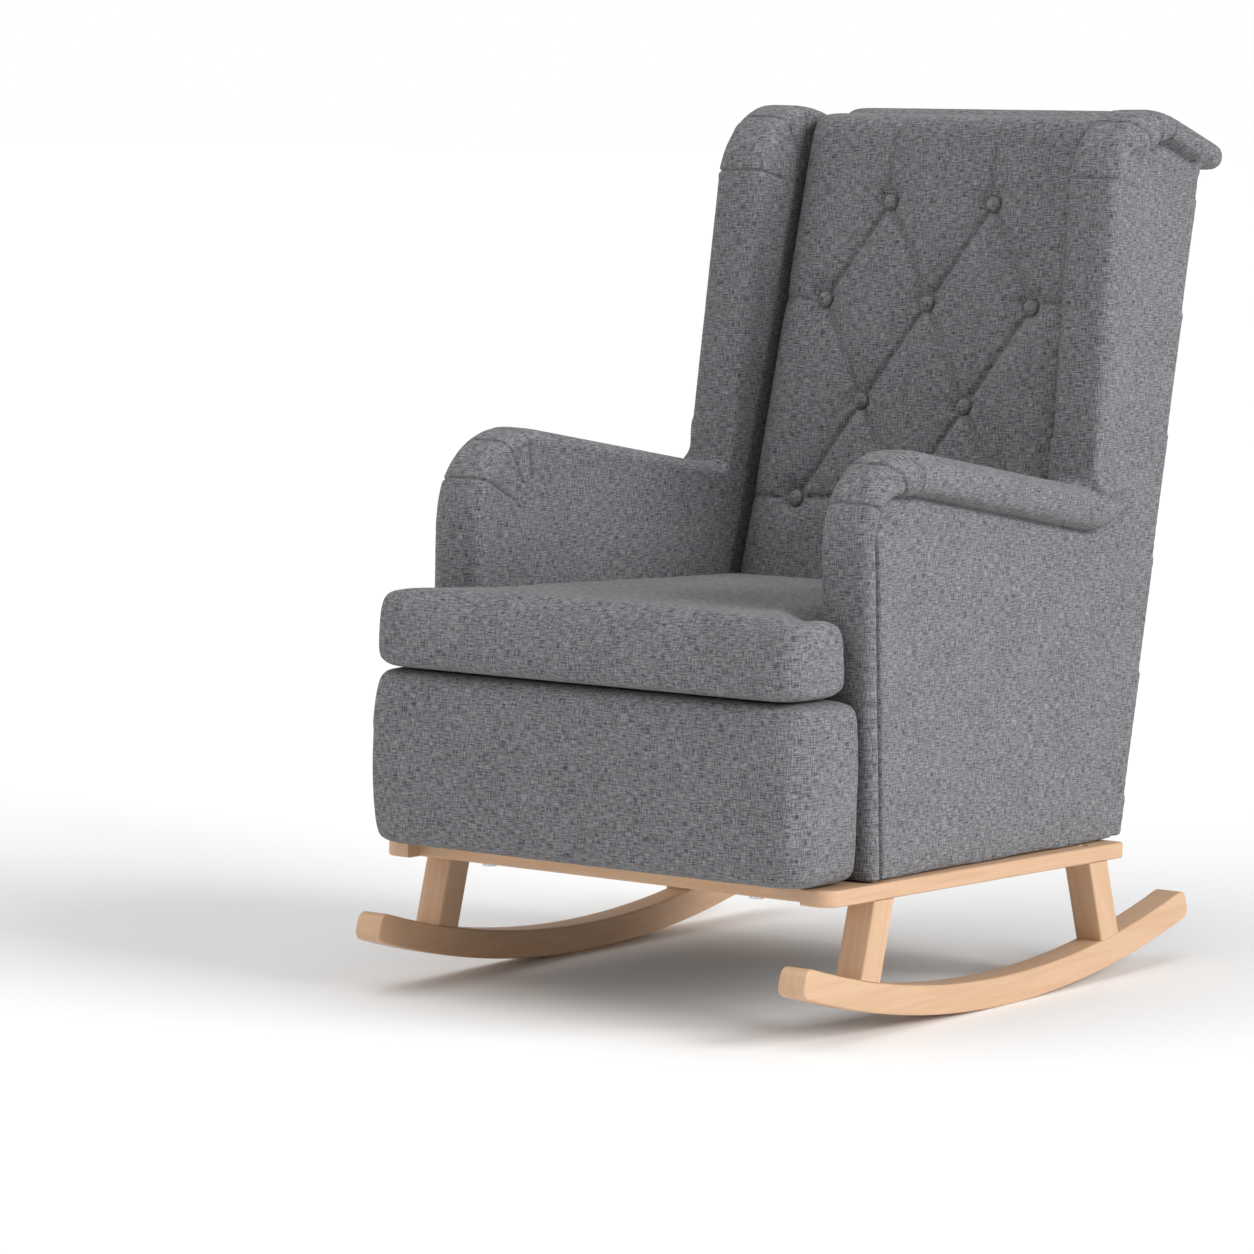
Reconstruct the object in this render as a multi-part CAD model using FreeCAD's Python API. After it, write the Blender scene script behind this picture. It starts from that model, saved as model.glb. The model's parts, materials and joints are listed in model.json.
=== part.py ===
"""Upholstered wing rocking chair: beech rocker base, boxed seat, rolled arms and wings, buttoned back.

Writing frame, in millimetres: +X to the sitter's left, the chair faces -Y, +Z is up, z = 0 is the floor
and y = 0 is where the rockers touch it. The finished parts are moved along Y at the end, so that the
origin is the middle of the chair's box on the floor.
"""
import math
import os

import FreeCAD
import Part

V = FreeCAD.Vector

# ---- overall ---------------------------------------------------------------------------------
HALF_WIDTH = 316.0        # outside faces of rockers, rails and sides
ARM_TOP = 633.0           # highest point of the arm
WING_TOP = 999.0          # highest point of the wing
BACK_TOP = WING_TOP - 12.0         # crest of the back between the wings

# ---- rocker base -----------------------------------------------------------------------------
ROCKER_RADIUS = 1308.0
ROCKER_DEPTH = 33.5
ROCKER_WIDTH = 36.0
ROCKER_FRONT = 398.0      # reach of the rocker in front of its contact point
ROCKER_REAR = 370.0
ROCKER_TIP_ROUND = 11.0
LEG = 36.0                # square section
LEG_SPLAY = 16.0          # degrees, front legs forward and rear legs backward
FRONT_LEG_TOP = -247.0
REAR_LEG_TOP = 176.0
RAIL_WIDTH = 40.0
RAIL_THICK = 18.5
RAIL_FRONT = -349.0
RAIL_REAR = 229.0
RAIL_HEIGHT = 143.8       # underside of the rails above the contact point
RAIL_SLOPE = 1.364        # degrees, lower at the back
RAIL_CORNER = 22.0
FRONT_CROSS_INSET = 20.0
REAR_CROSS_INSET = 79.0
EDGE_ROUND = 2.5

# ---- seat box --------------------------------------------------------------------------------
SEAT_FRONT = -391.0       # front of the upholstered apron
APRON_HALF = HALF_WIDTH - 12.0
APRON_TOP = 219.5         # above the rail underside, square to the rails
APRON_ROUND = 30.0        # corners of the apron seen from above
APRON_PAD = 25.0
APRON_REAR_GAP = 9.0      # between its returns and the arms
BOARD = 22.0              # seat frame boards
FRONT_BOARD = 30.0
BOARD_HEIGHT = 150.0
DECK = 24.0               # platform pad under the loose cushion
CUSHION_FRONT = -400.0
CUSHION_HALF = HALF_WIDTH - 16.0   # across the ears in front of the arms
CUSHION_EAR_DEPTH = 120.0
CUSHION_FRONT_THICK = 90.0
CUSHION_DROP = 1.3        # degrees, the cushion thins towards the back
CUSHION_ROUND = 20.0      # rear corners of the ears seen from above
CUSHION_FRONT_ROUND = 22.0
CUSHION_EDGE = 14.0       # round of the top edge

# ---- sides -----------------------------------------------------------------------------------
SIDE_THICK = 69.0
SIDE_TAPER = 1.2          # degrees, the sides lean in towards the top
TOE_IN = 1.3              # degrees, the sides come together towards the back
PANEL_INSET = 9.0         # outside panels, behind the outside of facings and rolls
INNER_PAD = 37.0
SIDE_BOARD = 12.0
ARM_FRONT = -268.0        # flat front of the arm
NOSE_RADIUS = 100.0
ARM_SLOPE = 10.4          # degrees, the arm falls towards the wing
ARM_ROLL = 52.0           # thickness of the padded roll on the arm
ROLL_OVERHANG = 3.0      # outward, past the side
ROLL_INSIDE = 3.0
FACING_PAD = 16.0
ARM_FACING_ROUND = 12.0
WING_FOOT = (192.0, 562.0)        # front of the wing where it meets the arm, (y, z)
WING_SHOULDER = (241.0, WING_TOP - 94.0)    # front of the wing where it starts to curve back
WING_FACING = 44.0
FACING_ROUND = 14.0
WING_ROLL = 44.0
HORN_ROUND = 15.0
HORN_END = 485.0                  # rear tip of the wing roll
HORN_SLOPE = 19.0                 # degrees, the roll falls towards the back

# ---- back ------------------------------------------------------------------------------------
BACK_LEAN = 14.1          # degrees
BACK_FOOT = (233.0, 157.0)        # a point on the rear line of the sides, (y, z)
REAR_OUT = 16.0           # rear edges of the side boards, behind the rear line
FRAME_FRONT = 41.0        # front of the back frame, ahead of the rear line
FRAME_THICK = 32.0
OUTER_BACK = 7.0
OUTER_BACK_HALF = HALF_WIDTH - 30.0
POST_WIDTH = 36.0
BACK_RAIL = 45.0
BACK_PAD = 60.0           # thickness of the buttoned pad
BACK_PAD_LOW = 205.0      # its lower end, measured up the back
BACK_PAD_INSET = 19.0     # its top edge, below the crest of the back
BACK_PAD_ROUND = 30.0
BUTTON_TOP = BACK_TOP - 265.0      # first row of buttons, measured up the back
BUTTON_ROW = 121.0
BUTTON_COLUMN = 74.0      # half the pitch across
BUTTON_RADIUS = 8.5
BUTTON_THICK = 6.0
DIMPLE_DEPTH = 13.0
DIMPLE_RADIUS = 24.0
TIE_RADIUS = 0.8

# ---- clearances ------------------------------------------------------------------------------
LAYER_GAP = 0.3           # between padded layers that lie on each other
CUSHION_GAP = 1.0         # under the loose cushion
CUSHION_SIDE_GAP = 4.0    # between the loose cushion and each arm, and behind it
BACK_SIDE_GAP = 2.5       # between the back and each side
SCREW_FIT = 0.05

# ---- hardware --------------------------------------------------------------------------------
SCREW_SHANK = 2.5
SCREW_HEAD = 5.5
SCREW_HEAD_DEPTH = 4.0
RAIL_SCREW = 62.0
ROCKER_SCREW = 58.0
ROCKER_SCREW_RECESS = 6.0
DOWEL_RADIUS = 4.0
DOWEL = 44.0
BOLT_RADIUS = 4.0
BOLT_HEAD = 8.0
BOLT_HEAD_DEPTH = 4.5
BLOCK = 110.0             # legs of the triangular corner blocks
BLOCK_HEIGHT = 40.0
BOLT_INSET = 18.0         # from the inside of the side boards
TEE_BARREL = 5.2
TEE_FLANGE = 11.0
TEE_DEPTH = 10.0
WEB_WIDTH = 50.0
WEB_THICK = 2.0

SIDE_INNER = HALF_WIDTH - SIDE_THICK
BIG = 3000.0
X_AXIS = V(1, 0, 0)


def sin(degrees):
    return math.sin(math.radians(degrees))


def cos(degrees):
    return math.cos(math.radians(degrees))


def tan(degrees):
    return math.tan(math.radians(degrees))


# ---- building helpers ------------------------------------------------------------------------
def block(x0, x1, y0, y1, z0, z1):
    return Part.makeBox(x1 - x0, y1 - y0, z1 - z0, V(x0, y0, z0))


def prism(points, x0, x1):
    """A polygon given as (y, z) points, pushed along X from x0 to x1."""
    corners = [V(x0, y, z) for y, z in points]
    face = Part.Face(Part.makePolygon(corners + corners[:1]))
    return face.extrude(V(x1 - x0, 0, 0))


def slab(points, z0, z1):
    """A polygon given as (x, y) points, pushed up from z0 to z1."""
    corners = [V(x, y, z0) for x, y in points]
    face = Part.Face(Part.makePolygon(corners + corners[:1]))
    return face.extrude(V(0, 0, z1 - z0))


def edges_along(shape, axis, test=None):
    """The straight edges of a shape that run along an axis and meet a test on their middle."""
    found = []
    for edge in shape.Edges:
        if not isinstance(edge.Curve, Part.Line):
            continue
        run = edge.Vertexes[-1].Point.sub(edge.Vertexes[0].Point)
        if run.Length < 1e-6 or abs(abs(run.normalize().dot(axis)) - 1) > 1e-4:
            continue
        if test is None or test(edge.CenterOfMass):
            found.append(edge)
    return found


def edges_on_plane(shape, point, normal):
    """The edges of a shape that lie in a plane."""
    found = []
    for edge in shape.Edges:
        start, end = edge.FirstParameter, edge.LastParameter
        ends = [edge.valueAt(start), edge.valueAt((start + end) / 2), edge.valueAt(end)]
        if all(abs(p.sub(point).dot(normal)) < 0.01 for p in ends):
            found.append(edge)
    return found


def both(make):
    """The left (+X) piece and its mirror image."""
    left = make()
    return left, left.mirror(V(0, 0, 0), X_AXIS)


def on_rails(shape):
    """Move a piece built level on z = 0 onto the sloping underside plane of the rails."""
    placed = shape.copy()
    placed.rotate(V(0, 0, 0), X_AXIS, -RAIL_SLOPE)
    placed.translate(V(0, 0, RAIL_HEIGHT))
    return placed


def on_back(shape):
    """Move a piece built upright on the rear line, with +Y out of the back, into the leaning back."""
    placed = shape.copy()
    placed.rotate(V(0, 0, 0), X_AXIS, -BACK_LEAN)
    placed.translate(V(0, BACK_FOOT[0], BACK_FOOT[1]))
    return placed


def rear_line(z, out=0.0):
    """The y of the rear line of the sides at a height, or of a line parallel to it further out."""
    return BACK_FOOT[0] + (z - BACK_FOOT[1]) * tan(BACK_LEAN) + out / cos(BACK_LEAN)


def lean_in(shape):
    """Tip a side inwards about its lower outside edge, and turn its rear inwards about its front."""
    tipped = shape.copy()
    tipped.rotate(V(HALF_WIDTH, 0, RAIL_HEIGHT), V(0, 1, 0), -SIDE_TAPER)
    tipped.rotate(V(HALF_WIDTH, ARM_FRONT, 0), V(0, 0, 1), TOE_IN)
    return tipped


def above_rails(shape, gap=0.0):
    return shape.cut(on_rails(block(-BIG, BIG, -BIG, BIG, -BIG, RAIL_THICK + gap)))


def inner_face(y, z, gap):
    """The x of the inside of the side at a place, less a gap."""
    return SIDE_INNER - gap - (z - RAIL_HEIGHT) * tan(SIDE_TAPER) - (y - ARM_FRONT) * tan(TOE_IN)


def between_sides(shape, gap):
    """Trim a piece to the room between the two sides, less a gap at each."""
    outside = lean_in(block(SIDE_INNER - gap, BIG, -BIG, BIG, -BIG, BIG))
    return shape.cut(outside).cut(outside.mirror(V(0, 0, 0), X_AXIS))


def rod(start, direction, length, radius):
    return Part.makeCylinder(radius, length, start, direction)


def fused(shapes):
    whole = shapes[0]
    for shape in shapes[1:]:
        whole = whole.fuse(shape)
    return whole.removeSplitter()


# ---- rocker base -----------------------------------------------------------------------------
def rocker_height(y, above=0.0):
    """Height of the rocker's underside at y, or of an arc that much nearer its centre."""
    return ROCKER_RADIUS - math.sqrt((ROCKER_RADIUS - above) ** 2 - y * y)


def rocker():
    centre = V(HALF_WIDTH - ROCKER_WIDTH, 0, ROCKER_RADIUS)
    front = math.degrees(math.asin(ROCKER_FRONT / ROCKER_RADIUS))
    rear = math.degrees(math.asin(ROCKER_REAR / ROCKER_RADIUS))
    disc = Part.makeCylinder(ROCKER_RADIUS, ROCKER_WIDTH, centre, X_AXIS)
    hole = Part.makeCylinder(ROCKER_RADIUS - ROCKER_DEPTH, ROCKER_WIDTH, centre, X_AXIS)
    wedge = prism([
        (0, ROCKER_RADIUS),
        (-BIG * sin(front), ROCKER_RADIUS - BIG * cos(front)),
        (BIG * sin(rear), ROCKER_RADIUS - BIG * cos(rear)),
    ], centre.x, centre.x + ROCKER_WIDTH)
    arc = disc.cut(hole).common(wedge)
    arc = arc.makeFillet(ROCKER_TIP_ROUND, edges_along(arc, X_AXIS))
    sides = []
    for edge in arc.Edges:
        box = edge.BoundBox
        if box.XLength < 1e-3:
            sides.append(edge)
    return arc.makeFillet(EDGE_ROUND, sides)


def leg_axis(top_y, splay):
    """The middle of a leg's top, on the rail's underside, and the direction down the leg."""
    top_z = RAIL_HEIGHT - top_y * tan(RAIL_SLOPE)
    x = HALF_WIDTH - LEG / 2
    return V(x, top_y, top_z), V(0, sin(splay), -cos(splay))


def leg(top_y, splay):
    top, down = leg_axis(top_y, splay)
    length = 2 * RAIL_HEIGHT
    post = block(-LEG / 2, LEG / 2, -LEG / 2, LEG / 2, -length, length / 2)
    post = post.makeFillet(EDGE_ROUND, edges_along(post, V(0, 0, 1)))
    post.rotate(V(0, 0, 0), X_AXIS, splay)
    post.translate(top)
    post = post.cut(on_rails(block(-BIG, BIG, -BIG, BIG, 0, BIG)))
    bowl = Part.makeCylinder(
        ROCKER_RADIUS - ROCKER_DEPTH, BIG, V(-BIG / 2, 0, ROCKER_RADIUS), X_AXIS)
    post = post.common(bowl)
    post = post.cut(leg_screw(top_y, splay, SCREW_FIT))
    return post.cut(rocker_screw(top_y, splay, SCREW_FIT))


def leg_screw(top_y, splay, fit=0.0):
    """The countersunk screw that holds a leg under its rail; with a fit it is the hole for it."""
    top, down = leg_axis(top_y, splay)
    up = down * -1
    reach = RAIL_THICK / cos(splay)
    head_top = top + up * (reach - 3.0)
    shank = rod(head_top, down, RAIL_SCREW, SCREW_SHANK + fit)
    head_depth = SCREW_HEAD_DEPTH + fit
    head = Part.makeCone(SCREW_HEAD + fit, SCREW_SHANK + fit, head_depth, head_top, down)
    if fit:
        head = head.fuse(rod(head_top, up, 3 * RAIL_THICK, SCREW_HEAD + fit))
    return shank.fuse(head)


def rocker_screw(top_y, splay, fit=0.0):
    """The sunk screw up through the rocker into a leg; with a fit it is the hole for it."""
    top, down = leg_axis(top_y, splay)
    up = down * -1
    length = (top.z - rocker_height(top_y)) / cos(splay)
    foot = top + down * length
    for _ in range(4):
        length += (foot.z - rocker_height(foot.y)) / cos(splay)
        foot = top + down * length
    head_low = foot + up * ROCKER_SCREW_RECESS
    shank = rod(head_low, up, ROCKER_SCREW, SCREW_SHANK + fit)
    head = rod(head_low, up, SCREW_HEAD_DEPTH + fit, SCREW_HEAD + fit)
    if fit:
        head = head.fuse(rod(head_low, down, 3 * ROCKER_SCREW_RECESS, SCREW_HEAD + fit))
    return shank.fuse(head)


LEGS = {"front": (FRONT_LEG_TOP, -LEG_SPLAY), "rear": (REAR_LEG_TOP, LEG_SPLAY)}
CROSS = {
    "front": (RAIL_FRONT + FRONT_CROSS_INSET, RAIL_FRONT + FRONT_CROSS_INSET + RAIL_WIDTH),
    "rear": (RAIL_REAR - REAR_CROSS_INSET - RAIL_WIDTH, RAIL_REAR - REAR_CROSS_INSET),
}


def dowel(end, offset, fit=0.0):
    """A dowel between a cross rail's end and the side rail, level on the rails' plane."""
    y0, y1 = CROSS[end]
    joint = HALF_WIDTH - RAIL_WIDTH
    y = (y0 + y1) / 2 + offset
    return rod(V(joint - DOWEL / 2, y, RAIL_THICK / 2), X_AXIS, DOWEL, DOWEL_RADIUS + fit)


def all_dowels(fit=0.0):
    return [dowel(end, side * RAIL_WIDTH / 4, fit) for end in CROSS for side in (-1, 1)]


def body_bolt(end, fit=0.0):
    """The bolt up through a cross rail into a corner block, level on the rails' plane."""
    y0, y1 = CROSS[end]
    y = (y0 + y1) / 2
    length = RAIL_THICK + BLOCK_HEIGHT + 5.0
    shank = rod(V(BOLT_X, y, -0.5), V(0, 0, 1), length, BOLT_RADIUS + fit)
    if fit:
        return shank.fuse(rod(V(BOLT_X, y, -1.0), V(0, 0, 1), 1.0, BOLT_RADIUS + fit))
    head = rod(V(BOLT_X, y, -BOLT_HEAD_DEPTH), V(0, 0, 1), BOLT_HEAD_DEPTH, BOLT_HEAD)
    return shank.fuse(head)


def tee_nut(end, fit=0.0):
    y0, y1 = CROSS[end]
    y = (y0 + y1) / 2
    top = RAIL_THICK + BLOCK_HEIGHT
    barrel = rod(V(BOLT_X, y, top - TEE_DEPTH), V(0, 0, 1), TEE_DEPTH, TEE_BARREL + fit)
    if fit:
        return barrel
    flange = rod(V(BOLT_X, y, top), V(0, 0, 1), 2.0, TEE_FLANGE)
    bore = rod(V(BOLT_X, y, 0), V(0, 0, 1), BIG / 10, BOLT_RADIUS + SCREW_FIT)
    return barrel.fuse(flange).cut(bore)


def side_rail():
    x0 = HALF_WIDTH - RAIL_WIDTH
    board = block(x0, HALF_WIDTH, RAIL_FRONT, RAIL_REAR, 0, RAIL_THICK)
    corner = edges_along(board, V(0, 0, 1), lambda p: p.x > x0 + 1 and p.y < 0)
    board = board.makeFillet(RAIL_CORNER, corner)
    rest = edges_along(board, V(0, 0, 1), lambda p: p.x > x0 + 1 and p.y > 0)
    board = board.makeFillet(EDGE_ROUND * 2, rest)
    rims = []
    for edge in board.Edges:
        outer = edge.CenterOfMass.x > x0 + 1 and edge.BoundBox.ZLength < 1e-3
        if outer and edge.CenterOfMass.y < RAIL_REAR - 1:
            rims.append(edge)
    board = board.makeFillet(EDGE_ROUND, rims)
    for hole in all_dowels(SCREW_FIT):
        board = board.cut(hole)
    board = on_rails(board)
    for top_y, splay in LEGS.values():
        board = board.cut(leg_screw(top_y, splay, SCREW_FIT))
    return board


def cross_rail(end):
    y0, y1 = CROSS[end]
    half = HALF_WIDTH - RAIL_WIDTH
    board = block(-half, half, y0, y1, 0, RAIL_THICK)
    board = board.makeFillet(EDGE_ROUND, edges_along(board, X_AXIS))
    holes = [dowel(end, side * RAIL_WIDTH / 4, SCREW_FIT) for side in (-1, 1)]
    holes.append(body_bolt(end, SCREW_FIT * 4))
    for hole in holes:
        board = board.cut(hole)
        board = board.cut(hole.mirror(V(0, 0, 0), X_AXIS))
    return on_rails(board)


# ---- seat box --------------------------------------------------------------------------------
PANEL_FRONT = SEAT_FRONT + APRON_PAD
BOX_HALF = inner_face(BACK_FOOT[0], RAIL_HEIGHT + APRON_TOP, BACK_SIDE_GAP)
BOLT_X = BOX_HALF - BOARD - BOLT_INSET
POST_FRONT = -FRAME_FRONT - LAYER_GAP
BLOCK_FRONT = PANEL_FRONT + FRONT_BOARD


def seat_board_front():
    return on_rails(block(-BOX_HALF, BOX_HALF, PANEL_FRONT, BLOCK_FRONT,
                          RAIL_THICK, RAIL_THICK + BOARD_HEIGHT))


def seat_rear_y():
    """Front face of the rear seat board."""
    foot = rear_line(RAIL_HEIGHT + RAIL_THICK, POST_FRONT)
    return foot - BOARD - 2.0


def seat_board_rear():
    y0 = seat_rear_y()
    return on_rails(block(-BOX_HALF, BOX_HALF, y0, y0 + BOARD, RAIL_THICK, RAIL_THICK + BOARD_HEIGHT))


def seat_board_side():
    return on_rails(block(BOX_HALF - BOARD, BOX_HALF, BLOCK_FRONT, seat_rear_y(),
                          RAIL_THICK, RAIL_THICK + BOARD_HEIGHT))


def corner_block(end):
    x1 = BOX_HALF - BOARD
    if end == "front":
        y0, step = BLOCK_FRONT, 1
    else:
        y0, step = seat_rear_y(), -1
    points = [(x1, y0), (x1, y0 + step * BLOCK), (x1 - BLOCK, y0)]
    wedge = slab(points, RAIL_THICK, RAIL_THICK + BLOCK_HEIGHT)
    wedge = wedge.cut(body_bolt(end, SCREW_FIT * 4))
    return wedge.cut(tee_nut(end, SCREW_FIT))


def bands(x_list, y_list, x_half, y0, y1, z):
    """Flat webbing both ways, one layer on the other."""
    made = []
    for x in x_list:
        made.append(block(x - WEB_WIDTH / 2, x + WEB_WIDTH / 2, y0, y1, z, z + WEB_THICK))
    top = z + WEB_THICK + LAYER_GAP
    for y in y_list:
        made.append(block(-x_half, x_half, y - WEB_WIDTH / 2, y + WEB_WIDTH / 2,
                          top, top + WEB_THICK))
    return made


def evenly(low, high, count):
    step = (high - low) / count
    return [low + step * (i + 0.5) for i in range(count)]


def seat_webbing():
    y0, y1 = PANEL_FRONT + 2.0, seat_rear_y() + BOARD - 2.0
    return [on_rails(band) for band in bands(
        evenly(-BOX_HALF, BOX_HALF, 6), evenly(y0, y1, 6), BOX_HALF - 2.0, y0, y1,
        RAIL_THICK + BOARD_HEIGHT + LAYER_GAP)]


PAD_BACK = -(FRAME_FRONT + 2 * WEB_THICK + 3 * LAYER_GAP)
PAD_FACE = PAD_BACK - BACK_PAD      # from the rear line forward to the buttoned pad's face


def seat_deck():
    """The platform pad on the webbing, from the front board to the back pad."""
    line = rear_line(RAIL_HEIGHT + APRON_TOP, POST_FRONT - 2 * WEB_THICK - 2 * LAYER_GAP)
    rear = line - DECK * sin(BACK_LEAN) - 8.0
    return on_rails(block(-BOX_HALF, BOX_HALF, PANEL_FRONT + LAYER_GAP, rear,
                          APRON_TOP - DECK, APRON_TOP))


def deck_foam():
    """The filling between the webbing and the platform pad."""
    z0 = RAIL_THICK + BOARD_HEIGHT + 2 * WEB_THICK + 3 * LAYER_GAP
    y1 = seat_rear_y() + BOARD - 6.0
    return on_rails(block(-BOX_HALF, BOX_HALF, PANEL_FRONT + LAYER_GAP, y1,
                          z0, APRON_TOP - DECK - LAYER_GAP))


def seat_apron():
    """The padded cover over the front of the seat box and its two returns to the arms."""
    rear = ARM_FRONT - APRON_REAR_GAP
    outer = block(-APRON_HALF, APRON_HALF, SEAT_FRONT, rear, RAIL_THICK + LAYER_GAP, APRON_TOP)
    corners = edges_along(outer, V(0, 0, 1), lambda p: p.y < (SEAT_FRONT + rear) / 2)
    outer = outer.makeFillet(APRON_ROUND, corners)
    rims = []
    for edge in outer.Edges:
        level = edge.BoundBox.ZLength < 1e-3
        if level and edge.CenterOfMass.y < rear - 1.0:
            rims.append(edge)
    outer = outer.makeFillet(9.0, rims)
    pocket = block(-BOX_HALF - LAYER_GAP, BOX_HALF + LAYER_GAP, PANEL_FRONT - LAYER_GAP, 0,
                   0, 2 * APRON_TOP)
    return on_rails(outer.cut(pocket))


def seat_cushion():
    """The loose T cushion: its ears lie in front of the arms."""
    z0 = APRON_TOP + CUSHION_GAP
    top_z = RAIL_HEIGHT + APRON_TOP + CUSHION_FRONT_THICK
    ear_rear = CUSHION_FRONT + CUSHION_EAR_DEPTH
    far = BIG / 10
    near_x = inner_face(ear_rear, top_z, CUSHION_SIDE_GAP)
    far_x = inner_face(far, top_z, CUSHION_SIDE_GAP)
    half = [(CUSHION_HALF, CUSHION_FRONT), (CUSHION_HALF, ear_rear), (near_x, ear_rear), (far_x, far)]
    outline = half + [(-x, y) for x, y in reversed(half)]
    shape = slab(outline, z0, z0 + CUSHION_FRONT_THICK)
    front = edges_along(shape, V(0, 0, 1), lambda p: p.y < ear_rear - 1)
    shape = shape.makeFillet(CUSHION_FRONT_ROUND, front)
    ears = edges_along(shape, V(0, 0, 1), lambda p: abs(p.x) > near_x + 1 and p.y > ear_rear - 1)
    shape = shape.makeFillet(CUSHION_ROUND, ears)
    lid = block(-BIG, BIG, -BIG, BIG, 0, BIG)
    lid.rotate(V(0, 0, 0), X_AXIS, -CUSHION_DROP)
    lid.translate(V(0, CUSHION_FRONT, z0 + CUSHION_FRONT_THICK))
    shape = on_rails(shape.cut(lid))
    stop = PAD_FACE - CUSHION_SIDE_GAP
    shape = shape.cut(on_back(block(-BIG, BIG, stop, BIG, -BIG, BIG)))
    top = on_rails(Part.Vertex(0, CUSHION_FRONT, z0 + CUSHION_FRONT_THICK)).Point
    normal = V(0, sin(RAIL_SLOPE + CUSHION_DROP), cos(RAIL_SLOPE + CUSHION_DROP))
    return shape.makeFillet(CUSHION_EDGE, edges_on_plane(shape, top, normal))


def dust_cover():
    """The cloth under the seat frame, inside the rails."""
    half = HALF_WIDTH - RAIL_WIDTH - 2.0
    y0, y1 = CROSS["front"][1] + 1.0, CROSS["rear"][0] - 1.0
    return on_rails(block(-half, half, y0, y1, RAIL_THICK - 1.2, RAIL_THICK - 0.2))


# ---- sides -----------------------------------------------------------------------------------
def arm_line(y, below=0.0):
    """Height of the arm's top at y, or of a line parallel to it that much lower."""
    return ARM_TOP - (y - (ARM_FRONT + NOSE_RADIUS)) * tan(ARM_SLOPE) - below / cos(ARM_SLOPE)


def wing_front(z, back=0.0):
    """The y of the wing's front at a height, or of a line parallel to it that much further back."""
    rise = WING_SHOULDER[1] - WING_FOOT[1]
    run = WING_SHOULDER[0] - WING_FOOT[0]
    slant = math.hypot(rise, run) / rise
    return WING_FOOT[0] + (z - WING_FOOT[1]) * run / rise + back * slant


def on_circle(centre, radius, angles):
    """The (y, z) points of a circle at some angles in degrees, measured from the rear."""
    return [(centre[0] + radius * cos(a), centre[1] + radius * sin(a)) for a in angles]


def arm_outline(rear_out):
    """The flat of the side below the arm roll, behind the facing, up to the wing's foot."""
    inset = ARM_ROLL + LAYER_GAP
    front = ARM_FRONT + FACING_PAD + LAYER_GAP
    centre = (ARM_FRONT + NOSE_RADIUS, ARM_TOP - NOSE_RADIUS)
    turn = 90.0 + ARM_SLOPE
    angles = [180.0 - turn * i / 8 for i in range(9)]
    nose = on_circle(centre, NOSE_RADIUS - inset, angles)
    step = centre[1] - LAYER_GAP
    split = arm_split()
    return [(front, 0.0), (front, step), (nose[0][0], step)] + nose + [
        (wing_front(split), arm_line(wing_front(split), inset)),
        (wing_front(split), split), (rear_line(split, rear_out), split),
        (rear_line(0.0, rear_out), 0.0)]


def arm_split():
    """Height at which the wing's panels begin, just under the arm roll's rear end."""
    return arm_line(WING_FOOT[0], ARM_ROLL + LAYER_GAP) - 2.0


def wing_outline(rear_out):
    """The flat of the wing behind its facing and under its roll."""
    split = arm_split() + LAYER_GAP
    back = WING_FACING + LAYER_GAP
    top = WING_TOP - WING_ROLL / 2
    return [(wing_front(split, back), split), (wing_front(top, back), top),
            (rear_line(top, rear_out), top), (rear_line(split, rear_out), split)]


def side_layer(outline, x0, x1):
    layer = prism(outline, x0, x1).cut(wing_tube(LAYER_GAP))
    main = max(layer.Solids, key=lambda solid: solid.Volume)
    return above_rails(lean_in(main), LAYER_GAP)


PAD_REAR = REAR_OUT - 1.0
LAYERS = {
    "inner": (SIDE_INNER, SIDE_INNER + INNER_PAD - LAYER_GAP, PAD_REAR),
    "outer": (SIDE_INNER + INNER_PAD + SIDE_BOARD + LAYER_GAP, HALF_WIDTH - PANEL_INSET, 0.0),
}


def side_board():
    """One plywood profile for arm and wing."""
    x0 = SIDE_INNER + INNER_PAD
    low = side_layer(arm_outline(PAD_REAR), x0, x0 + SIDE_BOARD)
    split = arm_split()
    joint = prism([(wing_front(split, WING_FACING + 1.0), split - 5.0),
                   (wing_front(split, WING_FACING + 1.0), split + 5.0),
                   (rear_line(split + 5.0, PAD_REAR), split + 5.0),
                   (rear_line(split - 5.0, PAD_REAR), split - 5.0)], x0, x0 + SIDE_BOARD)
    high = side_layer(wing_outline(PAD_REAR), x0, x0 + SIDE_BOARD)
    return fused([low, lean_in(joint), high])


def section(centre, across, thick_dir, half_wide, half_thick, radius):
    """A rounded rectangle: across and thick_dir are unit vectors, the rest are half sizes."""
    def at(a, b):
        return centre + across * a + thick_dir * b

    w, t = half_wide, half_thick
    k = radius * (1 - math.sqrt(0.5))
    parts = []
    for sa, sb, swap in ((1, 1, False), (-1, 1, True), (-1, -1, False), (1, -1, True)):
        ends = [at(sa * w, sb * (t - radius)), at(sa * (w - radius), sb * t)]
        if swap:
            ends.reverse()
        middle = at(sa * (w - k), sb * (t - k))
        parts.append(Part.Arc(ends[0], middle, ends[1]).toShape())
    edges = []
    for i, corner in enumerate(parts):
        after = parts[(i + 1) % 4]
        edges.append(corner)
        a, b = corner.valueAt(corner.LastParameter), after.valueAt(after.FirstParameter)
        if a.distanceToPoint(b) > 1e-6:
            edges.append(Part.makeLine(a, b))
    return Part.Wire(edges)


def swept(path, profile):
    tube = Part.Wire(path).makePipeShell([profile], True, False)
    return tube


ROLL_HALF = (SIDE_THICK + ROLL_OVERHANG + ROLL_INSIDE) / 2


def path_point(y, z):
    """A point on the middle plane of the rolls."""
    return V(SIDE_INNER - ROLL_INSIDE + ROLL_HALF, y, z)


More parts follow.
